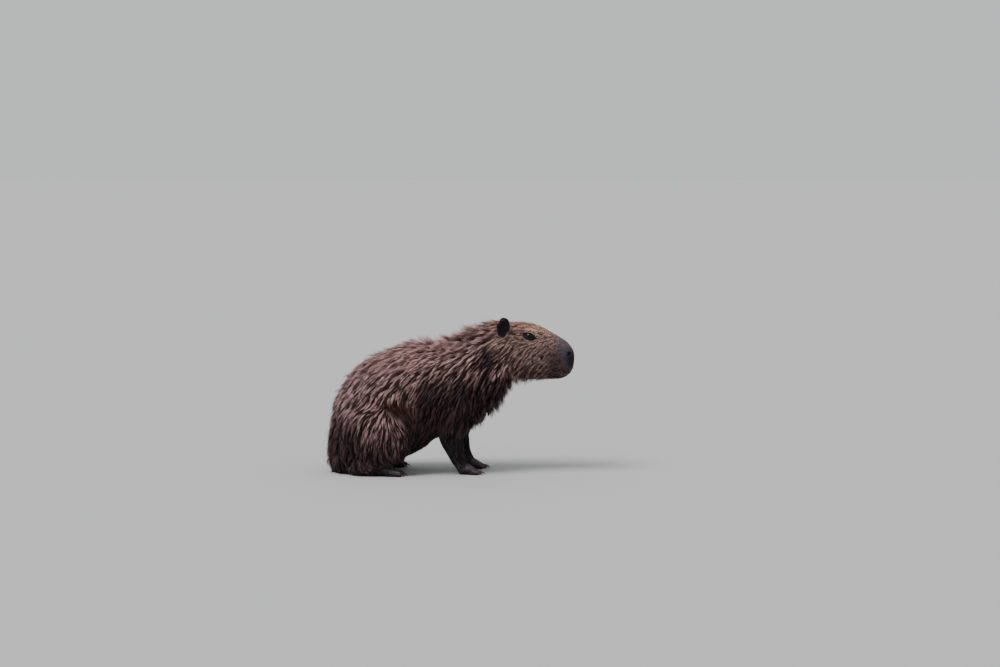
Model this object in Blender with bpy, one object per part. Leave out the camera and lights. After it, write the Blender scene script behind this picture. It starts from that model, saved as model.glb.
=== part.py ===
"""A capybara at life size, sitting on its haunches with straight forelegs and a raised head.

Units are metres. The animal faces +X, +Z is up and its right side is on -Y. It sits on z = 0.
Outlines run through the tips of the coat. The flesh is modelled whole, then parted by thin cuts
into the head, neck, trunk, tail and the lengths of each leg. Ears, eyes and claws are made apart.
"""

import math

import bmesh
import bpy
import numpy as np
from mathutils import Matrix, Vector

GAP = 0.0003
SIDES = {"right": -1, "left": 1}

# Sections of the trunk and neck, from the seat round the back to the nape:
# top x, top z, bottom x, bottom z, half width, height of the widest level, squareness.
TRUNK_SECTIONS = (
    (-0.419, -0.004, -0.306, -0.004, 0.066, 0.50, 2.3),
    (-0.4345, 0.055, -0.262, 0.022, 0.101, 0.50, 2.3),
    (-0.429, 0.128, -0.218, 0.038, 0.126, 0.50, 2.3),
    (-0.420, 0.196, -0.190, 0.048, 0.140, 0.48, 2.2),
    (-0.396, 0.280, -0.165, 0.056, 0.146, 0.46, 2.2),
    (-0.359, 0.340, -0.143, 0.065, 0.150, 0.46, 2.2),
    (-0.300, 0.393, -0.120, 0.076, 0.152, 0.46, 2.2),
    (-0.214, 0.434, -0.090, 0.095, 0.152, 0.46, 2.2),
    (-0.122, 0.457, -0.052, 0.121, 0.148, 0.46, 2.2),
    (-0.057, 0.456, -0.012, 0.142, 0.140, 0.45, 2.2),
    (-0.011, 0.471, 0.034, 0.157, 0.130, 0.45, 2.2),
    (0.040, 0.492, 0.068, 0.174, 0.117, 0.46, 2.1),
    (0.086, 0.512, 0.110, 0.202, 0.105, 0.47, 2.1),
    (0.130, 0.531, 0.152, 0.244, 0.095, 0.48, 2.1),
    (0.166, 0.533, 0.188, 0.296, 0.087, 0.48, 2.1),
    (0.204, 0.528, 0.214, 0.323, 0.078, 0.48, 2.1),
)

# Sections of the head, from the nape to the nose, in the same seven measures.
HEAD_SECTIONS = (
    (0.158, 0.520, 0.184, 0.312, 0.076, 0.46, 2.2),
    (0.192, 0.528, 0.208, 0.322, 0.075, 0.44, 2.3),
    (0.226, 0.5285, 0.236, 0.329, 0.073, 0.42, 2.4),
    (0.262, 0.5255, 0.267, 0.327, 0.069, 0.42, 2.5),
    (0.300, 0.5150, 0.304, 0.326, 0.0625, 0.42, 2.7),
    (0.340, 0.4935, 0.340, 0.326, 0.0565, 0.42, 2.9),
    (0.378, 0.4715, 0.372, 0.327, 0.0525, 0.44, 3.1),
    (0.403, 0.4535, 0.393, 0.333, 0.0490, 0.46, 3.1),
    (0.418, 0.433, 0.409, 0.345, 0.0415, 0.50, 3.0),
    (0.4265, 0.411, 0.422, 0.365, 0.0290, 0.50, 2.6),
)

# Muscles and hollows of the head: centre x, y, z, then reach x, y, z, then push x, y, z.
# A row with y above 0 is made on both sides.
HEAD_FORMS = {
    "brow ridge": ((0.272, 0.058, 0.497), (0.034, 0.022, 0.014), (0.000, 0.0045, 0.0035)),
    "eye hollow": ((0.284, 0.062, 0.470), (0.030, 0.022, 0.020), (0.000, -0.0060, 0.000)),
    "temple": ((0.222, 0.058, 0.492), (0.034, 0.030, 0.030), (0.000, -0.0050, 0.000)),
    "cheek": ((0.248, 0.066, 0.395), (0.055, 0.030, 0.045), (0.000, 0.0060, 0.000)),
    "jaw corner": ((0.232, 0.050, 0.348), (0.034, 0.030, 0.026), (0.000, 0.0050, -0.002)),
    "snout side": ((0.345, 0.055, 0.425), (0.040, 0.024, 0.034), (0.000, -0.0050, 0.000)),
    "upper lip": ((0.392, 0.042, 0.372), (0.030, 0.024, 0.026), (0.002, 0.0045, 0.000)),
    "lip corner": ((0.342, 0.050, 0.352), (0.022, 0.022, 0.014), (0.000, -0.0035, 0.000)),
    "nose pad": ((0.424, 0.022, 0.424), (0.016, 0.018, 0.014), (0.0015, 0.002, 0.0015)),
    "lip groove": ((0.428, 0.000, 0.384), (0.016, 0.006, 0.026), (-0.0030, 0.000, 0.000)),
    "crown": ((0.215, 0.000, 0.530), (0.040, 0.030, 0.020), (0.000, 0.000, -0.0015)),
}

EYE_CENTRE = (0.2665, 0.0490, 0.4785)
EYE_RADIUS = 0.0155
# The almond opening in front of the eyeball: its reach, how far out it lies and its slant.
EYE_OPENING = (0.0180, 0.0120, 0.0105)
EYE_OPENING_OUT = 0.0120
EYE_SLANT = math.radians(17)

NOSTRIL_CENTRE = (0.4075, 0.0440, 0.4180)
NOSTRIL_REACH = (0.0085, 0.0060, 0.0055)
NOSTRIL_TILT = math.radians(-30)
MOUTH_LINE = (
    (0.4165, 0.0000, 0.3450),
    (0.4040, 0.0330, 0.3395),
    (0.3780, 0.0520, 0.3415),
    (0.3520, 0.0580, 0.3530),
)
# Half height and depth of the mouth's groove, how thin it ends and how many sides its tunnel has.
MOUTH_RADII = (0.0016, 0.0042)
MOUTH_END = 0.35
MOUTH_SPOKES = 8

EAR_BASE = (0.1775, 0.0610, 0.4880)
EAR_HEIGHT = 0.081
EAR_WIDTH = 0.050
EAR_THICKNESS = 0.0050
EAR_RIM_THINNING = 0.45
EAR_CUP = 0.0110
EAR_ROOT = 0.018
EAR_RINGS = 3
EAR_SPOKES = 20
# The left ear is held lower and further out than the right one.
EAR_SPREAD = {"right": math.radians(24), "left": math.radians(50)}
EAR_TURN = math.radians(24)
EAR_LEAN = math.radians(-3)
# What shapes the ear's edge from an ellipse: towards which angle, over how wide an angle, by what share.
EAR_EDGE = {
    "notch in the rear edge": (127, 11, -0.25),
    "flat middle of the rear edge": (195, 30, -0.14),
    "rear of the foot": (238, 13, 0.12),
    "narrow front of the foot": (306, 36, -0.23),
}

# Foreleg below the shoulder: x, y, z, half depth, half width. The left one stands further forward.
LEFT_FORELEG_STEP = 0.018
SHOULDER = (
    (-0.030, 0.075, 0.330, 0.060, 0.045),
    (-0.012, 0.098, 0.270, 0.070, 0.044),
    (-0.006, 0.098, 0.210, 0.060, 0.042),
    (-0.004, 0.088, 0.150, 0.048, 0.036),
)
FOREARM = (
    (-0.004, 0.092, 0.185, 0.052, 0.038),
    (-0.004, 0.086, 0.130, 0.0430, 0.034),
    (0.0065, 0.081, 0.090, 0.0335, 0.029),
    (0.0180, 0.078, 0.058, 0.0265, 0.026),
    (0.0320, 0.077, 0.030, 0.0225, 0.026),
)
PALM = (
    (0.0280, 0.077, 0.012, 0.0145, 0.022),
    (0.0480, 0.077, 0.018, 0.0190, 0.029),
    (0.0720, 0.077, 0.011, 0.0120, 0.031),
)
# Each toe of the forefoot: where its root lies across the foot, where its tip does, and its reach.
FORE_TOES = (
    (-0.0210, -0.0330, 0.085),
    (-0.0075, -0.0110, 0.098),
    (0.0075, 0.0110, 0.099),
    (0.0205, 0.0310, 0.088),
)
FORE_TOE_ROOT = 0.058
FORE_TOE_RADIUS = 0.0082
FORE_FOOT_LINE = 0.077

# Haunch, shank and hind foot, in the same five measures.
HAUNCH = (
    (-0.318, 0.060, 0.262, 0.090, 0.060),
    (-0.290, 0.095, 0.205, 0.112, 0.062),
    (-0.262, 0.108, 0.150, 0.108, 0.058),
    (-0.230, 0.112, 0.105, 0.086, 0.050),
)
SHANK = (
    (-0.168, 0.116, 0.122, 0.030, 0.036),
    (-0.200, 0.118, 0.088, 0.040, 0.042),
    (-0.265, 0.114, 0.062, 0.042, 0.043),
    (-0.325, 0.106, 0.042, 0.034, 0.034),
)
HIND_SOLE = (
    (-0.346, 0.106, 0.016, 0.0150, 0.022),
    (-0.310, 0.110, 0.018, 0.0200, 0.026),
    (-0.258, 0.115, 0.019, 0.0190, 0.030),
    (-0.216, 0.119, 0.014, 0.0140, 0.034),
)
HIND_TOES = (
    (-0.0220, -0.0310, -0.176),
    (0.0000, 0.0000, -0.168),
    (0.0220, 0.0300, -0.178),
)
HIND_TOE_ROOT = -0.228
HIND_TOE_RADIUS = 0.0105
HIND_FOOT_LINE = 0.1195

# Each toe: its sections from the ball of the foot to the tip, as shares of the toe's radius:
# share of the way, height, half depth and half width.
TOE_SECTIONS = ((0.0, 1.05, 1.05, 1.00), (0.5, 1.05, 1.10, 0.95), (1.0, 0.76, 0.88, 0.92))

# Each claw: share of its length past the tip of the toe, height over the floor, share of its radius.
TOE_CLAW_LENGTH = 0.0150
TOE_CLAW_RADIUS = 0.0052
HIND_CLAW_SCALE = 1.25
CLAW_SECTIONS = ((-0.35, 0.0105, 0.88), (0.10, 0.0098, 1.04), (0.62, 0.0068, 0.86), (0.95, 0.0020, 0.48))
CLAW_FLATNESS = 0.72
CLAW_SPOKES = 6

TAIL_CENTRE = (-0.4160, 0.0, 0.0700)
TAIL_REACH = (0.0150, 0.0170, 0.0170)

# Where the flesh is parted. A prism is an outline of x, z corners and a span of y on each side;
# an ellipsoid is a centre, its reach and a tilt about y.
HEAD_PART = ((0.1080, 0.600), (0.2010, 0.290), (0.480, 0.290), (0.480, 0.600))
NECK_PART = ((0.0050, 0.620), (0.1080, 0.185), (0.300, 0.185), (0.300, 0.620))
FOREFOOT_PART = ((-0.040, -0.02), (0.180, -0.02), (0.180, 0.058), (0.090, 0.058), (-0.040, 0.030))
FOREARM_PART = ((-0.040, 0.020), (0.150, 0.020), (0.150, 0.180), (0.090, 0.168), (-0.080, 0.108))
FORELEG_SPAN = (0.018, 0.190)
UPPER_FORELEG_PART = ((-0.004, 0.128, 0.232), (0.076, 0.060, 0.118), math.radians(8))
HINDFOOT_PART = ((-0.385, -0.02), (-0.130, -0.02), (-0.130, 0.047), (-0.220, 0.036), (-0.385, 0.036))
SHANK_PART = ((-0.385, 0.026), (-0.150, 0.026), (-0.132, 0.060), (-0.160, 0.092), (-0.385, 0.072))
HIND_LEG_SPAN = (0.079, 0.210)
THIGH_PART = ((-0.268, 0.136, 0.162), (0.144, 0.080, 0.118), math.radians(24))
TAIL_PART_REACH = (0.0200, 0.0210, 0.0210)

FLESH_GRAIN = 0.0035
FLESH_SMOOTHING = 6
FLESH_TRIANGLES = 2350
ROUND = 28
# How far the ends of limbs and of claws bulge, as a share of their radius.
LIMB_DOME = 0.8
CLAW_DOME = 0.5
SHARP_EDGE = math.radians(40)


def smooth_rows(rows, steps):
    """The rows, with more between them on a smooth curve through all."""
    rows = np.array(rows, float)
    ends = np.vstack([2 * rows[0] - rows[1], rows, 2 * rows[-1] - rows[-2]])
    found = []
    for first in range(len(rows) - 1):
        a, b, c, d = ends[first : first + 4]
        for step in range(steps):
            t = step / steps
            bend = (2 * a - 5 * b + 4 * c - d) * t**2 + (3 * b - a - 3 * c + d) * t**3
            found.append(0.5 * (2 * b + (c - a) * t + bend))
    found.append(rows[-1])
    return found


def mesh_object(name, bm):
    """A new object that holds the mesh, with its faces pointing out."""
    bmesh.ops.recalc_face_normals(bm, faces=bm.faces)
    if bm.calc_volume(signed=True) < 0:
        bmesh.ops.reverse_faces(bm, faces=bm.faces)
    mesh = bpy.data.meshes.new(name)
    bm.to_mesh(mesh)
    bm.free()
    made = bpy.data.objects.new(name, mesh)
    bpy.context.collection.objects.link(made)
    return made


def loft(name, rings):
    """A closed skin over rings of points, with a flat face on each end."""
    bm = bmesh.new()
    loops = [[bm.verts.new(point) for point in ring] for ring in rings]
    for near, far in zip(loops, loops[1:]):
        for i in range(len(near)):
            j = (i + 1) % len(near)
            bm.faces.new((near[i], near[j], far[j], far[i]))
    bm.faces.new(loops[0])
    bm.faces.new(loops[-1])
    return mesh_object(name, bm)


def section(row):
    """The ring of one section of the trunk or head: a rounded box between its top and bottom points."""
    top_x, top_z, bottom_x, bottom_z, half_width, widest, squareness = row
    top = Vector((top_x, 0, top_z))
    bottom = Vector((bottom_x, 0, bottom_z))
    middle = bottom.lerp(top, widest)
    ring = []
    for i in range(ROUND):
        angle = 2 * math.pi * i / ROUND
        rise = math.copysign(abs(math.cos(angle)) ** (2 / squareness), math.cos(angle))
        across = math.copysign(abs(math.sin(angle)) ** (2 / squareness), math.sin(angle))
        up = (top - middle) * rise if rise > 0 else (middle - bottom) * rise
        ring.append(middle + up + Vector((0, half_width * across, 0)))
    return ring


def loft_sections(name, rows):
    """A smooth body through a list of sections."""
    return loft(name, [section(row) for row in smooth_rows(rows, 4)])


def limb(name, rows, side=1, shift=(0, 0, 0), dome=LIMB_DOME, spokes=ROUND, steps=4):
    """A round limb with domed ends, through rows of x, y, z, half depth and half width."""
    rows = np.array(smooth_rows(rows, steps))
    centres = [Vector((x + shift[0], side * (y + shift[1]), z + shift[2])) for x, y, z in rows[:, :3]]
    rings = []
    last = len(centres) - 1
    for i, centre in enumerate(centres):
        along = (centres[min(i + 1, last)] - centres[max(i - 1, 0)]).normalized()
        across = (Vector((0, 1, 0)) - along * along.y).normalized()
        deep = along.cross(across)
        half_depth, half_width = rows[i, 3:]
        turns = [(0, 1)]
        if i == 0:
            turns = [(-1, 0.6), (0, 1)]
        if i == last:
            turns = [(0, 1), (1, 0.6)]
        for end, size in turns:
            out = end * dome * min(half_depth, half_width) * math.sqrt(1 - size * size)
            ring = []
            for k in range(spokes):
                angle = 2 * math.pi * k / spokes
                spoke = deep * (half_depth * math.cos(angle)) + across * (half_width * math.sin(angle))
                ring.append(centre + along * out + spoke * size)
            rings.append(ring)
    return loft(name, rings)


def ellipsoid(name, centre, reach, tilt=0.0, grow=0.0, fineness=2):
    """A ball of the given reach along x, y and z, tilted about y."""
    bm = bmesh.new()
    bmesh.ops.create_icosphere(bm, subdivisions=fineness, radius=1.0)
    size = Matrix.Diagonal((reach[0] + grow, reach[1] + grow, reach[2] + grow, 1))
    bm.transform(Matrix.Translation(centre) @ Matrix.Rotation(tilt, 4, "Y") @ size)
    return mesh_object(name, bm)


def prism(name, outline, y_low, y_high, grow=0.0):
    """A block with the outline seen from the side, between two levels of y."""
    corners = [Vector(corner) for corner in outline]
    middle = sum(corners, Vector((0, 0))) / len(corners)
    grown = []
    for i, corner in enumerate(corners):
        before = (corner - corners[i - 1]).normalized()
        after = (corners[(i + 1) % len(corners)] - corner).normalized()
        normals = []
        for edge in (before, after):
            normal = Vector((edge.y, -edge.x))
            normals.append(normal if normal.dot(corner - middle) > 0 else -normal)
        mitre = (normals[0] + normals[1]).normalized()
        grown.append(corner + mitre * (grow / mitre.dot(normals[0])))
    levels = (y_low - grow, y_high + grow)
    return loft(name, [[(x, level, z) for x, z in grown] for level in levels])


def applied(obj):
    """Gives the object the mesh that its modifiers make, and drops the modifiers."""
    graph = bpy.context.evaluated_depsgraph_get()
    mesh = bpy.data.meshes.new_from_object(obj.evaluated_get(graph))
    obj.modifiers.clear()
    old = obj.data
    obj.data = mesh
    bpy.data.meshes.remove(old)
    return obj


def removed(obj):
    """Takes a helper out of the scene."""
    bpy.data.objects.remove(obj, do_unlink=True)


def combined(obj, other, operation):
    """The object after a Boolean with another one, which stays."""
    cut = obj.modifiers.new(operation.lower(), "BOOLEAN")
    cut.operation = operation
    cut.solver = "EXACT"
    cut.object = other
    return applied(obj)


def copy_of(obj, name):
    """A second object with a mesh of its own."""
    made = bpy.data.objects.new(name, obj.data.copy())
    bpy.context.collection.objects.link(made)
    return made


def largest_body(obj):
    """Keeps the largest of the bodies in the mesh, and drops crumbs that a cut has left."""
    bm = bmesh.new()
    bm.from_mesh(obj.data)
    bm.faces.ensure_lookup_table()
    unseen = set(bm.faces)
    bodies = []
    while unseen:
        body = set()
        front = [unseen.pop()]
        while front:
            face = front.pop()
            body.add(face)
            for edge in face.edges:
                for other in edge.link_faces:
                    if other in unseen:
                        unseen.discard(other)
                        front.append(other)
        bodies.append(body)
    kept = max(bodies, key=lambda body: sum(face.calc_area() for face in body))
    dropped = [face for body in bodies if body is not kept for face in body]
    bmesh.ops.delete(bm, geom=dropped, context="FACES")
    bm.to_mesh(obj.data)
    bm.free()
    return obj


def joined(name, pieces):
    """One object that holds the meshes of all the pieces."""
    bm = bmesh.new()
    for piece in pieces:
        bm.from_mesh(piece.data)
    for piece in pieces:
        removed(piece)
    return mesh_object(name, bm)


def remeshed(obj, grain, passes):
    """The pieces of an object melted into one even skin, and smoothed."""
    skin = obj.modifiers.new("melt", "REMESH")
    skin.mode = "VOXEL"
    skin.voxel_size = grain
    smooth = obj.modifiers.new("smooth", "SMOOTH")
    smooth.factor = 0.5
    smooth.iterations = passes
    return applied(obj)


def reduced(obj, triangles):
    """The object with fewer faces, as many as its shape needs."""
    obj.data.calc_loop_triangles()
    fewer = obj.modifiers.new("fewer", "DECIMATE")
    fewer.ratio = triangles / len(obj.data.loop_triangles)
    return applied(obj)


def swell(obj, centre, reach, push):
    """Pushes the surface near a point, most at the point and not at all past the reach."""
    count = len(obj.data.vertices)
    points = np.empty(count * 3, np.float32)
    obj.data.vertices.foreach_get("co", points)
    points = points.reshape(count, 3)
    far = (((points - np.array(centre)) / np.array(reach)) ** 2).sum(1)
    weight = np.exp(-1.6 * far)
    points += weight[:, None] * np.array(push)
    obj.data.vertices.foreach_set("co", points.ravel().astype(np.float32))
    obj.data.update()


def mirrored(vector, side):
    """The vector on the given side of the animal."""
    return (vector[0], side * vector[1], vector[2])


def foreleg_shift(side):
    """How far the foreleg of this side stands in front of the right one."""
    return LEFT_FORELEG_STEP if side == SIDES["left"] else 0.0


def moved(outline, shift):
    """The outline, moved forward."""
    return [(x + shift, z) for x, z in outline]


def toe(foot_line, root_x, measures, radius, side, shift=0.0):
    """A toe from the ball of the foot to its tip: an arched joint, then a low pad."""
    root_y, tip_y, tip_x = measures
    rows = []
    for share, height, half_depth, half_width in TOE_SECTIONS:
        x = root_x + share * (tip_x - root_x) + shift
        y = foot_line + root_y + share * (tip_y - root_y)
        rows.append((x, y, height * radius, half_depth * radius, half_width * radius))
    return limb("toe", rows, side)


def forefoot_pieces(side):
    """The palm and the four toes of a forefoot."""
    shift = foreleg_shift(side)
    pieces = [limb("palm", PALM, side, (shift, 0, 0))]
    for measures in FORE_TOES:
        pieces.append(toe(FORE_FOOT_LINE, FORE_TOE_ROOT, measures, FORE_TOE_RADIUS, side, shift))
    return pieces


def hindfoot_pieces(side):
    """The long sole and the three toes of a hind foot."""
    pieces = [limb("sole", HIND_SOLE, side)]
    for measures in HIND_TOES:
        pieces.append(toe(HIND_FOOT_LINE, HIND_TOE_ROOT, measures, HIND_TOE_RADIUS, side))
    return pieces


def leg_pieces(side):
    """All the flesh of the two legs on one side."""
    step = (foreleg_shift(side), 0, 0)
    pieces = [limb("shoulder", SHOULDER, side), limb("forearm", FOREARM, side, step)]
    pieces += [limb("haunch", HAUNCH, side), limb("shank", SHANK, side)]
    return pieces + forefoot_pieces(side) + hindfoot_pieces(side)


def whole_flesh():
    """Trunk, neck, head, legs and tail as one smooth body, flat where it rests on the floor."""
    pieces = [loft_sections("trunk", TRUNK_SECTIONS), loft_sections("head", HEAD_SECTIONS)]
    pieces.append(ellipsoid("tail", TAIL_CENTRE, TAIL_REACH))
    for side in SIDES.values():
        pieces += leg_pieces(side)
    flesh = remeshed(joined("flesh", pieces), FLESH_GRAIN, FLESH_SMOOTHING)
    for centre, reach, push in HEAD_FORMS.values():
        for side in SIDES.values() if centre[1] > 0 else (1,):
            swell(flesh, mirrored(centre, side), reach, mirrored(push, side))
    flesh = reduced(flesh, FLESH_TRIANGLES)
    floor = prism("floor", ((-0.6, -0.2), (0.6, -0.2), (0.6, 0.0), (-0.6, 0.0)), -0.4, 0.4)
    flesh = combined(flesh, floor, "DIFFERENCE")
    removed(floor)
    return largest_body(flesh)


def part_off(flesh, name, cutter, grown_cutter):
    """Takes the flesh inside a cutter as a node of its own, with a thin gap round it."""
    node = largest_body(combined(copy_of(flesh, name), cutter, "INTERSECT"))
    largest_body(combined(flesh, grown_cutter, "DIFFERENCE"))
    removed(cutter)
    removed(grown_cutter)
    return node


def part_prism(flesh, name, outline, y_low, y_high):
    """Parts off what lies inside a prism."""
    cutters = [prism("cutter", outline, y_low, y_high, grow) for grow in (0.0, GAP)]
    return part_off(flesh, name, *cutters)


def part_ellipsoid(flesh, name, centre, reach, tilt=0.0):
    """Parts off what lies inside an ellipsoid."""
    cutters = [ellipsoid("cutter", centre, reach, tilt, grow) for grow in (0.0, GAP)]
    return part_off(flesh, name, *cutters)


def part_legs(flesh, word, side):
    """The nodes of both legs on one side. Returns them by name."""
    shift = foreleg_shift(side)
    fore = sorted(side * y for y in FORELEG_SPAN)
    hind = sorted(side * y for y in HIND_LEG_SPAN)
    nodes = {
        "forefoot": part_prism(flesh, f"forefoot_{word}", moved(FOREFOOT_PART, shift), *fore),
        "forearm": part_prism(flesh, f"forearm_{word}", moved(FOREARM_PART, shift), *fore),
        "hindfoot": part_prism(flesh, f"hindfoot_{word}", HINDFOOT_PART, *hind),
        "shank": part_prism(flesh, f"shank_{word}", SHANK_PART, *hind),
    }
    for part, (centre, reach, tilt) in (("upper_foreleg", UPPER_FORELEG_PART), ("thigh", THIGH_PART)):
        nodes[part] = part_ellipsoid(flesh, f"{part}_{word}", mirrored(centre, side), reach, tilt)
    return nodes


def ear_edge(angle):
    """How far the ear's edge lies from its middle towards an angle, as a share of an even ellipse."""
    share = 1.0
    for towards, spread, push in EAR_EDGE.values():
        share += push * math.exp(-(((math.degrees(angle) - towards) / spread) ** 2))
    return share


def ear(word, side, grow=0.0):
    """A cupped ear shell. Its hollow faces forward and out."""
    bm = bmesh.new()
    rims = []
    for face_side in (-1, 1):
        middle = bm.verts.new((0, face_side * EAR_THICKNESS / 2 + EAR_CUP, 0))
        loops = []
        for ring in range(1, EAR_RINGS + 1):
            size = ring / EAR_RINGS
            thin = 0.5 * EAR_THICKNESS * (1 - EAR_RIM_THINNING * size**2)
            y = EAR_CUP * (1 - size**2) + face_side * thin
            loop = []
            for spoke in range(EAR_SPOKES):
                angle = 2 * math.pi * spoke / EAR_SPOKES
                reach = size * ear_edge(angle)
                x = 0.5 * EAR_WIDTH * reach * math.cos(angle)
                z = 0.5 * EAR_HEIGHT * reach * math.sin(angle)
                loop.append(bm.verts.new((x, y, z)))
            loops.append(loop)
        for i in range(EAR_SPOKES):
            j = (i + 1) % EAR_SPOKES
            bm.faces.new((middle, loops[0][i], loops[0][j]))
            for near, far in zip(loops, loops[1:]):
                bm.faces.new((near[i], near[j], far[j], far[i]))
        rims.append(loops[-1])
    for i in range(EAR_SPOKES):
        j = (i + 1) % EAR_SPOKES
        bm.faces.new((rims[0][i], rims[0][j], rims[1][j], rims[1][i]))
    bmesh.ops.translate(bm, verts=bm.verts, vec=(0, 0, 0.5 * EAR_HEIGHT - EAR_ROOT))
    bmesh.ops.recalc_face_normals(bm, faces=bm.faces)
    bm.normal_update()
    for vert, normal in [(v, v.normal.copy()) for v in bm.verts]:
        vert.co += normal * grow
    lean = Matrix.Rotation(EAR_LEAN, 4, "Y")
    spread = Matrix.Rotation(-EAR_SPREAD[word], 4, "X")
    turn = Matrix.Rotation(-EAR_TURN, 4, "Z")
    hollow_out = Matrix.Diagonal((1, -1, 1, 1))
    on_side = Matrix.Diagonal((1, side, 1, 1))
    bm.transform(on_side @ Matrix.Translation(EAR_BASE) @ lean @ spread @ turn @ hollow_out)
    return mesh_object(f"ear_{word}", bm)


def eye(word, side):
    """The eyeball."""
    return ellipsoid(f"eye_{word}", mirrored(EYE_CENTRE, side), (EYE_RADIUS,) * 3, fineness=3)


def toe_claw(name, tip, heading, radius, grow=0.0):
    """A short blunt claw that leaves the toe and bends down to the floor."""
    ahead = Vector((math.cos(heading), math.sin(heading), 0))
    rows = []
    for along, height, size in CLAW_SECTIONS:
        place = Vector(tip) + ahead * (along * TOE_CLAW_LENGTH)
        half_width = size * radius
        rows.append((place.x, place.y, height, half_width * CLAW_FLATNESS + grow, half_width + grow))
    return limb(name, rows, dome=CLAW_DOME, spokes=CLAW_SPOKES, steps=1)


def claws_of(foot, word, side):
    """The claws of one foot, each with its tip and heading read from its toe."""
    if foot == "forefoot":
        toes, root_x, foot_line = FORE_TOES, FORE_TOE_ROOT, FORE_FOOT_LINE
        shift = foreleg_shift(side)
        radius = TOE_CLAW_RADIUS
    else:
        toes, root_x, foot_line = HIND_TOES, HIND_TOE_ROOT, HIND_FOOT_LINE
        shift = 0.0
        radius = TOE_CLAW_RADIUS * HIND_CLAW_SCALE
    found = []
    for number, (root, tip, reach) in enumerate(toes, 1):
        heading = side * math.atan2(tip - root, reach - root_x)
        place = (reach + shift, side * (foot_line + tip), 0)
        found.append((f"{foot}_claw_{number}_{word}", place, heading, radius))
    return found


def make_room(node, made, grown):
    """Cuts the room that a separate piece takes out of the flesh that holds it."""
    largest_body(combined(node, grown, "DIFFERENCE"))
    removed(grown)
    return made


def cut_openings(head, side):
    """The socket of the eye, the opening of its lids and the nostril, on one side."""
    x, y, z = EYE_CENTRE
    opening = mirrored((x, y + EYE_OPENING_OUT, z), side)
    cutters = [
        ellipsoid("socket", mirrored(EYE_CENTRE, side), (EYE_RADIUS + GAP,) * 3, fineness=3),
        ellipsoid("opening", opening, EYE_OPENING, EYE_SLANT),
        ellipsoid("nostril", mirrored(NOSTRIL_CENTRE, side), NOSTRIL_REACH, NOSTRIL_TILT),
    ]
    for cutter in cutters:
        combined(head, cutter, "DIFFERENCE")
        removed(cutter)


def cut_mouth(head):
    """The line of the closed mouth, round the front of the muzzle."""
    half = smooth_rows(MOUTH_LINE, 4)
    line = [mirrored(point, 1) for point in reversed(half)] + [mirrored(point, -1) for point in half[1:]]
    rings = []
    for i, point in enumerate(line):
        before = Vector(line[max(i - 1, 0)])
        after = Vector(line[min(i + 1, len(line) - 1)])
        along = (after - before).normalized()
        inward = Vector((0, 0, 1)).cross(along).normalized()
        fade = MOUTH_END if i in (0, len(line) - 1) else 1.0
        thick, deep = (radius * fade for radius in MOUTH_RADII)
        ring = []
        for k in range(MOUTH_SPOKES):
            angle = 2 * math.pi * k / MOUTH_SPOKES
            up = Vector((0, 0, thick * math.sin(angle)))
            ring.append(Vector(point) + inward * (deep * math.cos(angle)) + up)
        rings.append(ring)
    groove = loft("mouth", rings)
    combined(head, groove, "DIFFERENCE")
    removed(groove)
    largest_body(head)


def material(name, colour, roughness, metallic=0.0):
    """A plain finish."""
    made = bpy.data.materials.new(name)
    made.use_nodes = True
    shader = made.node_tree.nodes["Principled BSDF"]
    shader.inputs["Base Color"].default_value = (*colour, 1)
    shader.inputs["Roughness"].default_value = roughness
    shader.inputs["Metallic"].default_value = metallic
    made.diffuse_color = (*colour, 1)
    return made


def trunk_coat():
    """Coarse brown hair of the body."""
    return material("trunk_coat", (0.105, 0.060, 0.050), 0.75)


def face_coat():
    """Short reddish brown hair of the head."""
    return material("face_coat", (0.150, 0.090, 0.065), 0.75)


def leg_coat():
    """Nearly black hair of the lower legs and feet."""
    return material("leg_coat", (0.028, 0.020, 0.024), 0.60)


def ear_leather():
    """Dark thin hair over the skin of the ear."""
    return material("ear_leather", (0.022, 0.015, 0.018), 0.60)


def eye_gloss():
    """Wet dark eye."""
    return material("eye_gloss", (0.010, 0.007, 0.006), 0.08)


def claw_horn():
    """Brown horn of the claws."""
    return material("claw_horn", (0.070, 0.045, 0.035), 0.45)


def dress(obj, finish, smooth=True):
    """Gives an object its one material and its shading."""
    obj.data.materials.clear()
    obj.data.materials.append(finish)
    if smooth:
        obj.data.shade_smooth()
        obj.data.set_sharp_from_angle(angle=SHARP_EDGE)


def centre_and_parent(nodes):
    """Gives each node an origin at its own middle, and parents all to one empty over the floor's origin."""
    corners = [v.co for node in nodes for v in node.data.vertices]
    low = Vector([min(c[axis] for c in corners) for axis in range(3)])
    high = Vector([max(c[axis] for c in corners) for axis in range(3)])
    shift = Vector((-(low.x + high.x) / 2, -(low.y + high.y) / 2, -low.z))
    root = bpy.data.objects.new("capybara", None)
    bpy.context.collection.objects.link(root)
    for node in nodes:
        own = [v.co for v in node.data.vertices]
        middle = Vector([(min(c[axis] for c in own) + max(c[axis] for c in own)) / 2 for axis in range(3)])
        node.data.transform(Matrix.Translation(-middle))
        node.location = middle + shift
        node.parent = root


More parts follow.
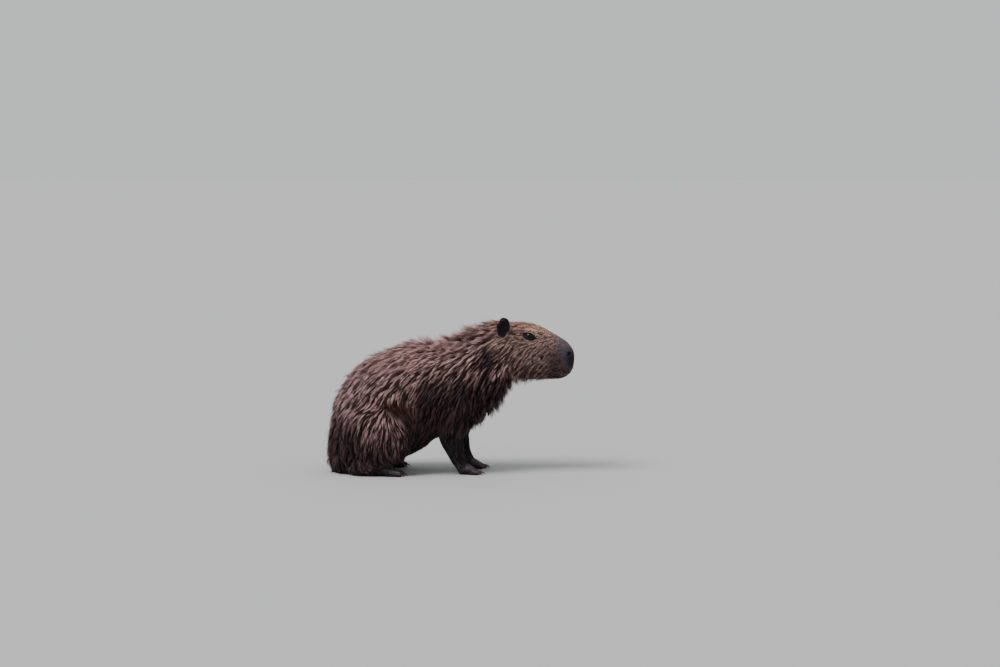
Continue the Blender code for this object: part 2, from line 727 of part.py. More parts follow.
def main():
    """Builds the animal."""
    for old in list(bpy.data.objects):
        bpy.data.objects.remove(old, do_unlink=True)
    coats = {"trunk": trunk_coat(), "face": face_coat(), "leg": leg_coat()}
    leather = ear_leather()
    gloss = eye_gloss()
    horn = claw_horn()

    flesh = whole_flesh()
    head = part_prism(flesh, "head", HEAD_PART, -0.3, 0.3)
    neck = part_prism(flesh, "neck", NECK_PART, -0.3, 0.3)
    tail = part_ellipsoid(flesh, "tail", TAIL_CENTRE, TAIL_PART_REACH)
    nodes = [head, neck, tail]
    dress(head, coats["face"])
    dress(neck, coats["trunk"])
    dress(tail, coats["trunk"])
    for word, side in SIDES.items():
        legs = part_legs(flesh, word, side)
        for part, node in legs.items():
            dress(node, coats["trunk" if part in ("thigh", "upper_foreleg") else "leg"])
        nodes += legs.values()
        cut_openings(head, side)
        nodes.append(eye(word, side))
        dress(nodes[-1], gloss)
        nodes.append(make_room(head, ear(word, side), ear(word, side, GAP)))
        dress(nodes[-1], leather)
        for foot in ("forefoot", "hindfoot"):
            for name, place, heading, radius in claws_of(foot, word, side):
                room = toe_claw("room", place, heading, radius, GAP)
                nodes.append(make_room(legs[foot], toe_claw(name, place, heading, radius), room))
                dress(nodes[-1], horn)
    cut_mouth(head)
    flesh.name = "trunk"
    dress(flesh, coats["trunk"])
    nodes.append(flesh)
    centre_and_parent(nodes)


main()
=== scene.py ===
"""The looks of a sitting capybara at life size: one skin, a coarse coat in damp locks, eyes and claws."""

import math

import bmesh
import bpy
import numpy as np
from mathutils import Matrix, Vector
from mathutils.bvhtree import BVHTree
from mathutils.kdtree import KDTree


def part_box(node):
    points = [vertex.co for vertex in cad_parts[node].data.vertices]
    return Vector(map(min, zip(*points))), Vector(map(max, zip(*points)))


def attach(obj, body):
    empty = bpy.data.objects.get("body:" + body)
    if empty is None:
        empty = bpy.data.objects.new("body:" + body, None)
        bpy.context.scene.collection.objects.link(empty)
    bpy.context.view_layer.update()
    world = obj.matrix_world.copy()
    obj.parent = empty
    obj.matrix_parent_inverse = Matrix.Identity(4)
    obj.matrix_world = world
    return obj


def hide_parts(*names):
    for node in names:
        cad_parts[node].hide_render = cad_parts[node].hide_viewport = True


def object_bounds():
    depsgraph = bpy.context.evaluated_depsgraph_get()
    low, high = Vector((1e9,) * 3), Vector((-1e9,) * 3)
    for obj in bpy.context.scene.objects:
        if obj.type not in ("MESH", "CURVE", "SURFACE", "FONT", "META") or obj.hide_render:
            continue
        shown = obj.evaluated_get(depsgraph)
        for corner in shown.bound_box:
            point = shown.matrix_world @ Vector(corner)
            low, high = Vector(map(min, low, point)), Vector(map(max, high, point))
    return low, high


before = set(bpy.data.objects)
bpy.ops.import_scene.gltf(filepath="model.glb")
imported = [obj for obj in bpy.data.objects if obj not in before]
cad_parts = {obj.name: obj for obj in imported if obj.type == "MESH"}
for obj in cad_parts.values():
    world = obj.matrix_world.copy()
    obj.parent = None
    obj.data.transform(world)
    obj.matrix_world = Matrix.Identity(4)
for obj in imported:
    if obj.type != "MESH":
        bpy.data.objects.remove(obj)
cad_low, cad_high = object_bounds()

MM = 0.001
# A distance larger than any on the animal.
FAR_OFF = 9.0
SIDES = {"right": -1, "left": 1}
LEG_PARTS = ("upper_foreleg", "forearm", "forefoot", "thigh", "shank", "hindfoot")
FLESH = ["head", "neck", "trunk", "tail"] + [f"{part}_{side}" for part in LEG_PARTS for side in SIDES]
EARS = [f"ear_{side}" for side in SIDES]
CLAWS = sorted(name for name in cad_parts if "_claw_" in name)


def middle(name):
    """The middle of a node's box."""
    low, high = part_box(name)
    return np.array((low + high) / 2)


EYE = {side: middle(f"eye_{side}") for side in SIDES}
EYE_RADIUS = (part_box("eye_right")[1].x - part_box("eye_right")[0].x) / 2
EAR_MIDDLE = {side: middle(f"ear_{side}") for side in SIDES}
ELBOW_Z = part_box("forearm_right")[1].z
FOREFOOT_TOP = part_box("forefoot_right")[1].z
HINDFOOT_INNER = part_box("hindfoot_left")[0].y
HINDFOOT_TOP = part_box("hindfoot_right")[1].z

# The plane between neck and head: a point on it over the nape, and the way it faces.
NAPE = np.array((0.108, 0.0, 0.600))
HEAD_FACING = np.array((0.9578, 0.0, 0.2873))

# The skin's grain, how far flesh, ears and eyes grow to close the cuts between them, and the share of
# the faces that the skin keeps where the coat hides it.
SKIN_GRAIN = 2.5 * MM
SKIN_SEAL = 0.45 * MM
EAR_SEAL = 1.0 * MM
EYE_SEAL = 0.7 * MM
SKIN_LOOSE_SHARE = 0.42
# The share of the skin's faces in the plainer copy that is unwrapped.
UNWRAP_SHARE = 0.10
# How many steps the weights of a vertex group are rounded to.
WEIGHT_STEPS = 20
# Skin that faces down this much is a sole, and is drawn in no further than it stands over this height.
SOLE_FACING = -0.6
SOLE_HEIGHT = 0.5 * MM

# Regions of the coat. Each pair is where a region starts to show and where it is full, along x, y or z.
HEAD_AHEAD = (-0.020, 0.030)
FORELEG_X = (-0.085, -0.045)
FORELEG_Z = (ELBOW_Z + 0.045, ELBOW_Z - 0.030)
FOREFOOT_X = (-0.06, -0.03)
FOREFOOT_Z = (FOREFOOT_TOP + 0.008, FOREFOOT_TOP - 0.020)
HINDFOOT_X = (-0.10, -0.13)
HINDFOOT_Y = (HINDFOOT_INNER - 0.006, HINDFOOT_INNER + 0.010)
HINDFOOT_Z = (HINDFOOT_TOP + 0.004, HINDFOOT_TOP - 0.008)
HIND_TOES_X = (-0.225, -0.205)
NAPE_REAR_X = (-0.17, -0.05)
NAPE_FRONT_X = (0.190, 0.160)
NAPE_Z = (0.40, 0.45)
THROAT_X = (0.03, 0.09)
THROAT_Z = (0.15, 0.19)
THROAT_END_AHEAD = (0.08, 0.17)
CREST_Z = (0.30, 0.38)
JAW_X = (0.395, 0.340)
JAW_Z = (0.43, 0.39)
FRINGE_X = (0.315, 0.260)
RUMP_X = (-0.30, -0.38)
RUMP_Z = (0.03, 0.08)
CROWN_END_X = (0.300, 0.365)
CROWN_Z = (0.41, 0.46)
SNOUT_X = (0.345, 0.392)
SNOUT_Z = (0.382, 0.435)
# Painted shade over the lower muzzle, darker towards the chin.
MUZZLE_SHADE_X = (0.295, 0.368)
MUZZLE_SHADE_Z = (0.475, 0.405)
NOSE_X = (0.350, 0.418)
NOSE_TOP_Z = (0.464, 0.396)
NOSE_FOOT_Z = (0.322, 0.384)
# The breast is darker: partly darker fur, partly painted shade.
BREAST_REAR_X = (-0.18, -0.12)
BREAST_FRONT_X = (0.10, 0.04)
BREAST_Z = (0.27, 0.17)
# The lower body is darker towards the bottom: partly darker fur, partly painted shade.
LOW_SHADE_Z = (0.30, 0.05)
# Painted shade: the fore body is darkened up to a line that rises by so much from the flank to the shoulder.
FOREPART_SHADE_X = (-0.205, -0.150)
FOREPART_SHADE_TOP = 0.385
FOREPART_SHADE_RISE = 0.070
FOREPART_SHADE_RISE_X = (-0.125, -0.067)
FOREPART_SHADE_FADE = (0.0, 0.20)
# Painted shade at the foot of the rump.
RUMP_FOOT_SHADE_X = (-0.23, -0.32)
RUMP_FOOT_SHADE_Z = (0.31, 0.14)
THROAT_FACING = np.array((0.55, 0.0, -0.83))

# Hair length in mm, at distances ahead of the plane between neck and head.
COAT_LENGTH = ((-0.06, 0.00, 0.05, 0.10, 0.15, 0.20, 0.235), (50, 40, 26, 17, 12, 8.5, 5))
FORELEG_HAIR = 15 * MM
FOOT_HAIR = 5.5 * MM
EAR_HAIR = 4.5 * MM

# Marks of the coat, painted shade among them: a place on the left side, and how far the mark reaches from it.
FOX_STREAK = ((-0.172, 0.150, 0.266), (0.056, 0.060, 0.018))
FOX_FRONT = ((-0.140, 0.150, 0.225), (0.022, 0.060, 0.042))
PALE_NECK = ((0.152, 0.080, 0.466), (0.012, 0.030, 0.022))
PALE_LID = ((0.262, 0.064, 0.461), (0.024, 0.020, 0.006))
# Painted shade in the fold between flank and thigh, and at its foot.
FLANK_FOLD_SHADE = ((-0.172, 0.150, 0.268), (0.058, 0.060, 0.025))
FOLD_FOOT_SHADE = ((-0.188, 0.150, 0.244), (0.040, 0.060, 0.032))
# Painted shade on the neck behind the jaw.
NECK_SHADE = ((0.139, 0.090, 0.414), (0.038, 0.060, 0.060))

# How the coat lies: a place on the left side or the midline, and the way the hair points there.
COAT_LIE = {
    "nose top": ((0.415, 0.000, 0.445), (-1.00, 0.00, 0.30)),
    "nose side": ((0.415, 0.042, 0.395), (-1.00, 0.15, -0.05)),
    "snout bridge": ((0.350, 0.000, 0.490), (-0.95, 0.00, 0.35)),
    "forehead": ((0.290, 0.000, 0.518), (-1.00, 0.00, 0.10)),
    "crown": ((0.215, 0.000, 0.528), (-1.00, 0.00, 0.00)),
    "muzzle side": ((0.375, 0.052, 0.400), (-0.86, 0.10, -0.50)),
    "upper cheek": ((0.320, 0.060, 0.430), (-0.80, 0.00, -0.60)),
    "lower cheek": ((0.270, 0.072, 0.370), (-0.70, 0.00, -0.71)),
    "jaw": ((0.300, 0.050, 0.332), (-0.75, 0.00, -0.66)),
    "chin": ((0.370, 0.000, 0.327), (-1.00, 0.00, -0.10)),
    "under jaw": ((0.250, 0.000, 0.325), (-0.80, 0.00, -0.60)),
    "temple": ((0.225, 0.065, 0.490), (-1.00, 0.00, -0.15)),
    "below ear": ((0.190, 0.078, 0.430), (-0.75, 0.00, -0.66)),
    "nape": ((0.130, 0.000, 0.530), (-0.98, 0.00, 0.00)),
    "neck side": ((0.120, 0.095, 0.420), (-0.68, 0.00, -0.73)),
    "neck front": ((0.150, 0.080, 0.320), (-0.55, 0.00, -0.83)),
    "throat": ((0.185, 0.000, 0.295), (-0.15, 0.00, -0.99)),
    "chest": ((0.112, 0.000, 0.205), (-0.20, 0.00, -0.98)),
    "withers": ((0.000, 0.000, 0.470), (-0.99, 0.00, -0.10)),
    "shoulder top": ((0.020, 0.100, 0.405), (-0.78, 0.10, -0.62)),
    "shoulder": ((0.020, 0.138, 0.305), (-0.60, 0.00, -0.80)),
    "upper foreleg": ((0.005, 0.135, 0.200), (-0.35, 0.00, -0.94)),
    "chest side": ((0.080, 0.095, 0.235), (-0.30, 0.00, -0.95)),
    "back": ((-0.120, 0.000, 0.455), (-1.00, 0.00, -0.02)),
    "loin": ((-0.250, 0.000, 0.415), (-0.88, 0.00, -0.47)),
    "back side": ((-0.120, 0.105, 0.400), (-0.82, 0.10, -0.55)),
    "flank": ((-0.115, 0.150, 0.290), (-0.58, 0.00, -0.81)),
    "lower flank": ((-0.095, 0.140, 0.190), (-0.50, 0.00, -0.86)),
    "rear flank": ((-0.220, 0.148, 0.335), (-0.66, 0.00, -0.75)),
    "rump top": ((-0.335, 0.000, 0.360), (-0.66, 0.00, -0.75)),
    "rump": ((-0.410, 0.000, 0.240), (-0.25, 0.00, -0.97)),
    "rump foot": ((-0.430, 0.000, 0.060), (-0.12, 0.00, -0.99)),
    "rump side": ((-0.345, 0.135, 0.265), (-0.42, 0.00, -0.91)),
    "rump side foot": ((-0.385, 0.120, 0.110), (-0.10, 0.00, -1.00)),
    "flank fold": ((-0.165, 0.150, 0.240), (-0.15, 0.00, -0.99)),
    "thigh": ((-0.255, 0.165, 0.165), (-0.20, 0.00, -0.98)),
    "thigh front": ((-0.165, 0.155, 0.165), (0.46, 0.00, -0.89)),
    "knee": ((-0.145, 0.140, 0.110), (-0.20, 0.00, -0.98)),
    "thigh foot": ((-0.280, 0.155, 0.080), (-0.10, 0.00, -1.00)),
    "belly": ((-0.070, 0.000, 0.110), (-0.93, 0.00, -0.36)),
    "rear belly": ((-0.200, 0.000, 0.050), (-0.95, 0.00, -0.30)),
    "elbow": ((-0.030, 0.105, 0.150), (0.10, 0.00, -1.00)),
    "forearm": ((0.008, 0.085, 0.090), (0.22, 0.00, -0.97)),
    "wrist": ((0.030, 0.080, 0.045), (0.55, 0.00, -0.83)),
    "forefoot": ((0.075, 0.077, 0.022), (1.00, 0.00, -0.25)),
    "heel": ((-0.350, 0.106, 0.030), (0.30, 0.00, -0.95)),
    "hind instep": ((-0.260, 0.116, 0.036), (1.00, 0.00, -0.10)),
    "hind toes": ((-0.180, 0.120, 0.018), (1.00, 0.00, -0.25)),
}
# From this whorl on the haunch the hair spreads down and round the thigh.
WHORL = (-0.2225, 0.152, 0.2415)
WHORL_REACH = 0.075
WHORL_STRENGTH = 2.2
# How softly one way of lying passes into the next.
LIE_BLEND = 0.012

# The left half of the closed mouth's line, from the middle to the corner.
MOUTH_LINE = (
    (0.4205, 0.0000, 0.3450),
    (0.4080, 0.0330, 0.3395),
    (0.3820, 0.0520, 0.3415),
    (0.3560, 0.0580, 0.3530),
)
MOUTH_CORNER_X = 0.345
# The left nostril: its middle, the way it opens, the way its tail points, and how far its dark leather and
# the painted shade in its hole reach.
NOSTRIL = (0.4118, 0.0450, 0.4180)
NOSTRIL_OUT = (0.50, 0.86, 0.06)
NOSTRIL_TAIL = (-0.75, 0.55, -0.35)
NOSTRIL_DARK = (0.026, 0.030, 0.021)
NOSTRIL_HOLE = (0.011, 0.011, 0.010)
# A small dark spot on the right cheek only.
CHEEK_SPOT = (0.3180, -0.058, 0.4100)
CHEEK_SPOT_REACH = (0.008, 0.030, 0.007)
# Where the left ear grows out of the head, and the box round the ears in which distances are measured.
EAR_FOOT = (0.1768, 0.0780, 0.4940)
EAR_FOOT_RADIUS = 0.0165
EAR_FOOT_DEPTH = 0.025
EAR_SURROUND = 0.06

# The way the left eye looks, how far its slit dips to the front, and the slit's half length and heights,
# as angles at the middle of the eye.
EYE_OUT = (0.16, 0.98, 0.10)
SLIT_DIP = math.radians(17)
SLIT_HALF_LENGTH = 1.20
UPPER_HALF_HEIGHT = 0.66
LOWER_HALF_HEIGHT = 0.54
SLIT_SQUARENESS = 1.6
# Two distances from the middle of the eye: that of the lids, and that of all the skin shaped round it.
LIDS_REACH = 0.040
EYE_SURROUND = 0.045
EYEBALL_ROOM = 0.15 * MM
CORNEA_SWELL = 0.7 * MM
EYE_PATCH_SHIFT = 2.0 * MM
EYE_PATCH_HALF_LENGTH = 25.5 * MM
EYE_PATCH_HALF_HEIGHT = 12.8 * MM
# The lids' height over the eyeball in mm, at distances from the slit's middle: 1 is the lids' edge.
LID_HEIGHT = ((0, 0.82, 1.0, 1.18, 1.45, 1.7, 2.2), (-2.6, -2.4, 1.3, 2.0, 1.3, 1.7, 1.5))


def ease(low, high, value):
    """A smooth step from 0 at low to 1 at high."""
    t = np.clip((value - low) / (high - low), 0, 1)
    return t * t * (3 - 2 * t)


def bell(points, centre, reach):
    """1 at the centre, falling smoothly to a fifth at the reach and to nothing at twice the reach."""
    far = (((points - np.array(centre)) / np.array(reach)) ** 2).sum(1)
    return np.exp(-1.6 * far)


def unit(vectors):
    """The vectors at length 1."""
    return vectors / np.maximum(np.linalg.norm(vectors, axis=-1, keepdims=True), 1e-9)


def on_side(left, sign):
    """A place or way given for the left side, on the side of that sign."""
    return (left[0], sign * left[1], left[2])


def both_sides(left):
    """The place on the right and on the left."""
    return [on_side(left, sign) for sign in SIDES.values()]


def bells(points, place, reach):
    """The same bell on the right and on the left."""
    return sum(bell(points, one, reach) for one in both_sides(place))


def strongest(*masks):
    """The highest of some masks at each point."""
    return np.maximum.reduce(masks)


def ear_tree():
    """Both ears' nodes as one tree to measure from."""
    points = []
    faces = []
    for name in EARS:
        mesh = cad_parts[name].data
        start = len(points)
        points += [tuple(vert.co) for vert in mesh.vertices]
        faces += [[start + corner for corner in face.vertices] for face in mesh.polygons]
    return BVHTree.FromPolygons(points, faces)


EAR_TREE = ear_tree()


def distance_to_ears(points):
    """How far each point lies from an ear, measured only for points near one."""
    far = np.full(len(points), FAR_OFF)
    low = EAR_MIDDLE["right"] - EAR_SURROUND
    high = EAR_MIDDLE["left"] + EAR_SURROUND
    near = np.nonzero(((points > low) & (points < high)).all(1))[0]
    for i in near:
        far[i] = EAR_TREE.find_nearest(points[i].tolist())[3]
    return far


def ear_foot(points):
    """1 on the dark foot of the ear, where it grows out of the side of the head, 0 outside."""
    u = (points[:, 0] - EAR_FOOT[0]) / EAR_FOOT_RADIUS
    w = (points[:, 2] - EAR_FOOT[2]) / EAR_FOOT_RADIUS
    near = np.abs(np.abs(points[:, 1]) - EAR_FOOT[1]) < EAR_FOOT_DEPTH
    return ease(1.10, 0.85, np.sqrt(u * u + w * w)) * near


def eye_patch(points):
    """1 on the dark bare skin of the lids and their corners, 0 outside."""
    dark = np.zeros(len(points))
    for side in SIDES:
        _, slit, across = eye_axes(side)
        away = points - EYE[side]
        u = (away @ slit + EYE_PATCH_SHIFT) / EYE_PATCH_HALF_LENGTH
        v = (away @ across) / EYE_PATCH_HALF_HEIGHT + 0.06
        near = np.linalg.norm(away, axis=1) < EYE_SURROUND
        dark = np.maximum(dark, ease(1.06, 0.90, np.sqrt(u * u + v * v)) * near)
    return dark


class Coat:
    """What the coat is like at some points of the skin: its regions, length, lift, depth and markings."""

    def __init__(self, points, normals):
        x, y, z = points.T
        across = np.abs(y)
        up = normals[:, 2]
        ahead = (points - NAPE) @ HEAD_FACING
        self.ahead = ahead
        to_ears = distance_to_ears(points)
        self.ear = np.maximum(ease(3.6 * MM, 1.8 * MM, to_ears), ear_foot(points))
        self.head = ease(*HEAD_AHEAD, ahead)
        foreleg = ease(*FORELEG_Z, z) * ease(*FORELEG_X, x)
        forefoot = ease(*FOREFOOT_Z, z) * ease(*FOREFOOT_X, x)
        hindfoot = ease(*HINDFOOT_Z, z) * ease(*HINDFOOT_Y, across) * ease(*HINDFOOT_X, x)
        self.foot = strongest(forefoot, hindfoot * 0.75, ease(*HIND_TOES_X, x) * hindfoot)
        self.leg = np.maximum(foreleg, hindfoot)
        self.body = (1 - self.head) * (1 - self.leg)
        self.nape = ease(0.25, 0.70, up) * ease(*NAPE_REAR_X, x) * ease(*NAPE_FRONT_X, x)
        self.nape *= ease(*NAPE_Z, z)
        self.throat = ease(0.15, 0.65, normals @ THROAT_FACING) * (1 - ease(*THROAT_END_AHEAD, ahead))
        self.throat *= ease(*THROAT_X, x) * ease(*THROAT_Z, z)
        self.crest = ease(0.35, 0.95, up) * ease(*CREST_Z, z) * (1 - self.head)
        self.belly = ease(-0.25, -0.7, up) * self.body * (1 - self.throat)
        self.jaw = self.head * ease(0.05, -0.55, up) * ease(*JAW_X, x) * ease(*JAW_Z, z)
        self.rump = ease(*RUMP_X, x) * ease(*RUMP_Z, z) * self.body
        # The tops of the toes, which get a painted lilac sheen.
        self.toes = self.foot * ease(0.15, 0.75, up)

        length = np.interp(ahead, *COAT_LENGTH) * MM
        length += self.body * (self.nape * 2 - self.throat * 8 - self.belly * 18) * MM
        length *= 1 - 0.30 * ease(0.4, 0.9, up) * self.head * ease(0.05, 0.09, ahead)
        length = length * (1 - foreleg) + foreleg * FORELEG_HAIR
        length = length * (1 - self.foot) + self.foot * FOOT_HAIR
        near_eye = sum(bell(points, EYE[side], (0.040, 0.040, 0.030)) for side in SIDES)
        length *= (1 - 0.45 * near_eye) * (1 - 0.55 * ease(22 * MM, 6 * MM, to_ears))
        in_ear = ease(0.0, 0.35, self.ear)
        length = length * (1 - in_ear) + in_ear * EAR_HAIR
        fringe = self.jaw * ease(*FRINGE_X, x)
        length += self.jaw * np.maximum((10 + 15 * fringe) * MM - length, 0)
        self.length = length
        # The angle between hair and skin is worked out in degrees.
        lift = 12.5 + 13 * self.nape + 22 * self.throat + 4 * self.rump
        lift += 5 * self.crest * (1 - self.nape)
        head_lift = 13 + 8 * self.nape + 14 * self.throat + 9 * self.jaw + 13 * fringe
        lift = lift * (1 - self.head) + head_lift * self.head
        lift = lift * (1 - self.leg) + 10 * self.leg
        self.lift = np.radians(lift)
        # The skin lies under the outline by this share of the height that the hair rises to.
        share = 0.86 - 0.30 * np.clip(self.throat + fringe, 0, 1)
        self.depth = share * length * np.sin(self.lift) + 0.3 * MM
        self.depth *= (1 - 0.6 * self.foot) * (1 - self.ear)

        self.marks(points, normals, across)

    def marks(self, points, normals, across):
        """The markings, each from 0 to 1, painted light, shade and sheen among them. Skin and coat read the
        same ones.
        """
        x, _, z = points.T
        up = normals[:, 2]
        crown = self.head * ease(0.05, 0.75, up) * (1 - ease(*CROWN_END_X, x)) * ease(*CROWN_Z, z)
        snout = ease(*SNOUT_X, x) * ease(*SNOUT_Z, z)
        # The dark of the nose leans back as it goes up, and is weaker between the nostrils.
        nose = ease(*NOSE_X, x - 0.30 * (0.42 - z)) * ease(*NOSE_TOP_Z, z) * ease(*NOSE_FOOT_Z, z)
        nose *= 1 - 0.48 * ease(0.036, 0.006, across)
        nose = strongest(nose, *(bell(points, place, NOSTRIL_DARK) for place in both_sides(NOSTRIL)))
        spot = 1.5 * bell(points, CHEEK_SPOT, CHEEK_SPOT_REACH)
        dark = np.clip(0.95 * nose + spot + 1.3 * eye_patch(points) + 0.85 * self.ear, 0, 1)
        # The second mark is the crown, and on the body the up-facing crest of the back, lighter partly for
        # paler hair and partly as painted light from above.
        crest = np.maximum(crown, self.crest)
        # The third mark is the snout, and the tops of the toes for their painted sheen.
        self.marks_a = np.stack([self.head, crest, np.maximum(snout, self.toes), dark], 1)

        # Painted shade over the lower fore body, darker towards the bottom.
        forepart_shade_top = FOREPART_SHADE_TOP + FOREPART_SHADE_RISE * ease(*FOREPART_SHADE_RISE_X, x)
        forepart_shade = ease(*FOREPART_SHADE_FADE, forepart_shade_top - z) * ease(*FOREPART_SHADE_X, x) * (1 - self.head)
        # The underside mark: partly darker fur of the belly, breast, throat and lower body, partly painted
        # shade there, and painted shade only over the fore body, the muzzle and chin, under and behind the
        # jaw, at the foot of the rump and in the flank fold.
        under = strongest(
            self.belly,
            ease(*BREAST_Z, z) * ease(*BREAST_REAR_X, x) * ease(*BREAST_FRONT_X, x),
            forepart_shade,
            0.45 * self.throat,
            0.40 * self.jaw,
            0.74 * ease(*MUZZLE_SHADE_X, x) * self.head * ease(*MUZZLE_SHADE_Z, z),
            0.80 * ease(*LOW_SHADE_Z, z) * (1 - self.head),
            0.76 * ease(*RUMP_FOOT_SHADE_Z, z) * ease(*RUMP_FOOT_SHADE_X, x),
            0.96 * bells(points, *NECK_SHADE),
            1.10 * (bells(points, *FLANK_FOLD_SHADE) + bells(points, *FOLD_FOOT_SHADE)),
        )
        red = np.clip(bells(points, *FOX_STREAK) + 0.6 * bells(points, *FOX_FRONT), 0, 1)
        pale = np.clip(bells(points, *PALE_NECK) + 0.5 * bells(points, *PALE_LID), 0, 1)
        self.marks_b = np.stack([np.maximum(self.leg, self.ear), under, red, pale], 1)


def lie_of_coat(points):
    """The way the hair points at each place, before it is laid on the skin."""
    places = []
    ways = []
    for place, way in COAT_LIE.values():
        for sign in SIDES.values() if place[1] else (1,):
            places.append(on_side(place, sign))
            ways.append(on_side(way, sign))
    places = np.array(places)
    ways = unit(np.array(ways))
    far = (points**2).sum(1)[:, None] - 2 * points @ places.T + (places**2).sum(1)[None]
    weight = 1 / (np.maximum(far, 0) + LIE_BLEND**2) ** 2
    way = (weight @ ways) / weight.sum(1, keepdims=True)
    for whorl in both_sides(WHORL):
        away = points - np.array(whorl)
        below = ease(0.012, -0.012, away[:, 2])
        near = np.exp(-((np.linalg.norm(away, axis=1) / WHORL_REACH) ** 2)) * below
        way += WHORL_STRENGTH * near[:, None] * unit(away)
    return unit(way)


def mesh_points(mesh):
    """The mesh's points and normals."""
    count = len(mesh.vertices)
    points = np.empty(count * 3, np.float32)
    mesh.vertices.foreach_get("co", points)
    normals = np.empty(count * 3, np.float32)
    mesh.vertex_normals.foreach_get("vector", normals)
    return points.reshape(-1, 3).astype(float), normals.reshape(-1, 3).astype(float)


def set_points(mesh, points):
    """Puts the mesh's points where they are given."""
    mesh.vertices.foreach_set("co", points.astype(np.float32).ravel())
    mesh.update()


def apply_modifiers(obj):
    """Gives the object the mesh that its modifiers make, and drops the modifiers."""
    graph = bpy.context.evaluated_depsgraph_get()
    mesh = bpy.data.meshes.new_from_object(obj.evaluated_get(graph))
    obj.modifiers.clear()
    old = obj.data
    obj.data = mesh
    bpy.data.meshes.remove(old)


def shown(name, mesh):
    """A new object in the scene."""
    obj = bpy.data.objects.new(name, mesh)
    bpy.context.scene.collection.objects.link(obj)
    return obj


def flesh_copies():
    """All the flesh as one mesh, each node grown a little so that the thin cuts between them close."""
    bm = bmesh.new()
    for name in FLESH + EARS:
        own = bmesh.new()
        own.from_mesh(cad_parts[name].data)
        bmesh.ops.remove_doubles(own, verts=own.verts, dist=1e-5)
        if name in EARS:
            bmesh.ops.subdivide_edges(own, edges=own.edges, cuts=2, use_grid_fill=True, smooth=0.6)
        own.normal_update()
        grow = EAR_SEAL if name in EARS else SKIN_SEAL
        moves = [(vert, vert.normal * grow) for vert in own.verts]
        for vert, move in moves:
            vert.co += move
        mesh = bpy.data.meshes.new("copy")
        own.to_mesh(mesh)
        own.free()
        bm.from_mesh(mesh)
        bpy.data.meshes.remove(mesh)
    for eye in EYE.values():
        place = Matrix.Translation(eye)
        bmesh.ops.create_icosphere(bm, subdivisions=3, radius=EYE_RADIUS + EYE_SEAL, matrix=place)
    mesh = bpy.data.meshes.new("skin")
    bm.to_mesh(mesh)
    bm.free()
    return shown("skin", mesh)


def keep_largest(mesh):
    """Drops every part of the mesh but the largest, such as bubbles in the gaps."""
    bm = bmesh.new()
    bm.from_mesh(mesh)
    bm.verts.ensure_lookup_table()
    seen = np.zeros(len(bm.verts), bool)
    best = []
    for start in bm.verts:
        if seen[start.index]:
            continue
        seen[start.index] = True
        island = [start]
        for vert in island:
            for edge in vert.link_edges:
                other = edge.other_vert(vert)
                if not seen[other.index]:
                    seen[other.index] = True
                    island.append(other)
        if len(island) > len(best):
            best = island
    kept = set(best)
    bmesh.ops.delete(bm, geom=[v for v in bm.verts if v not in kept], context="VERTS")
    bm.to_mesh(mesh)
    bm.free()


def smooth_over(obj, passes, weights=None):
    """Smooths the object in some passes, where the weights allow it."""
    smooth = obj.modifiers.new("smooth", "SMOOTH")
    smooth.factor = 0.5
    smooth.iterations = passes
    if weights is not None:
        set_group(obj, "ease", weights)
        smooth.vertex_group = "ease"
    apply_modifiers(obj)


def set_group(obj, name, weights):
    """A vertex group with a weight for each point."""
    old = obj.vertex_groups.get(name)
    if old:
        obj.vertex_groups.remove(old)
    group = obj.vertex_groups.new(name=name)
    steps = np.round(np.clip(weights, 0, 1) * WEIGHT_STEPS).astype(int)
    for step in range(1, WEIGHT_STEPS + 1):
        found = np.nonzero(steps == step)[0]
        if len(found):
            group.add(found.tolist(), step / WEIGHT_STEPS, "REPLACE")


def near_ears(points):
    """1 on the ears and round them."""
    return ease(8 * MM, 2 * MM, distance_to_ears(points))


def fused_skin():
    """One skin round all the flesh, drawn in by the depth of the coat."""
    skin = flesh_copies()
    melt = skin.modifiers.new("melt", "REMESH")
    melt.mode = "VOXEL"
    melt.voxel_size = SKIN_GRAIN
    apply_modifiers(skin)
    keep_largest(skin.data)
    points, normals = mesh_points(skin.data)
    soft = (1 - near_ears(points)) * (1 - 0.9 * Coat(points, normals).foot)
    smooth_over(skin, 14, soft)
    smooth_over(skin, 2)
    points, normals = mesh_points(skin.data)
    depth = Coat(points, normals).depth * (1 - near_ears(points))
    over_floor = np.maximum(points[:, 2] - SOLE_HEIGHT, 0)
    depth = np.minimum(depth, over_floor + depth * (normals[:, 2] > SOLE_FACING))
    set_points(skin.data, points - normals * depth[:, None])
    smooth_over(skin, 6, soft)
    points, _ = mesh_points(skin.data)
    points[:, 2] = np.maximum(points[:, 2], 0.0)
    set_points(skin.data, points)
    return skin


def refine(skin, centres, reach):
    """Splits the faces near some places, for detail finer than the rest."""
    bm = bmesh.new()
    bm.from_mesh(skin.data)
    places = [Vector(centre) for centre in centres]

    def is_near(vert):
        return any((vert.co - place).length < reach for place in places)

    edges = [edge for edge in bm.edges if is_near(edge.verts[0])]
    bmesh.ops.subdivide_edges(bm, edges=edges, cuts=1, use_grid_fill=True)
    near = [vert for vert in bm.verts if is_near(vert)]
    for _ in range(2):
        bmesh.ops.smooth_vert(
            bm, verts=near, factor=0.5, use_axis_x=True, use_axis_y=True, use_axis_z=True
        )
    bm.to_mesh(skin.data)
    bm.free()


def eye_axes(side):
    """The eye's outward axis, the axis along its slit and the one across it."""
    sign = SIDES[side]
    out = unit(np.array(on_side(EYE_OUT, sign)))
    slit = np.array((math.cos(SLIT_DIP), 0, -math.sin(SLIT_DIP)))
    slit = unit(slit - out * (slit @ out))
    across = np.cross(slit, out) * -sign
    return out, slit, across * (1 if across[2] > 0 else -1)


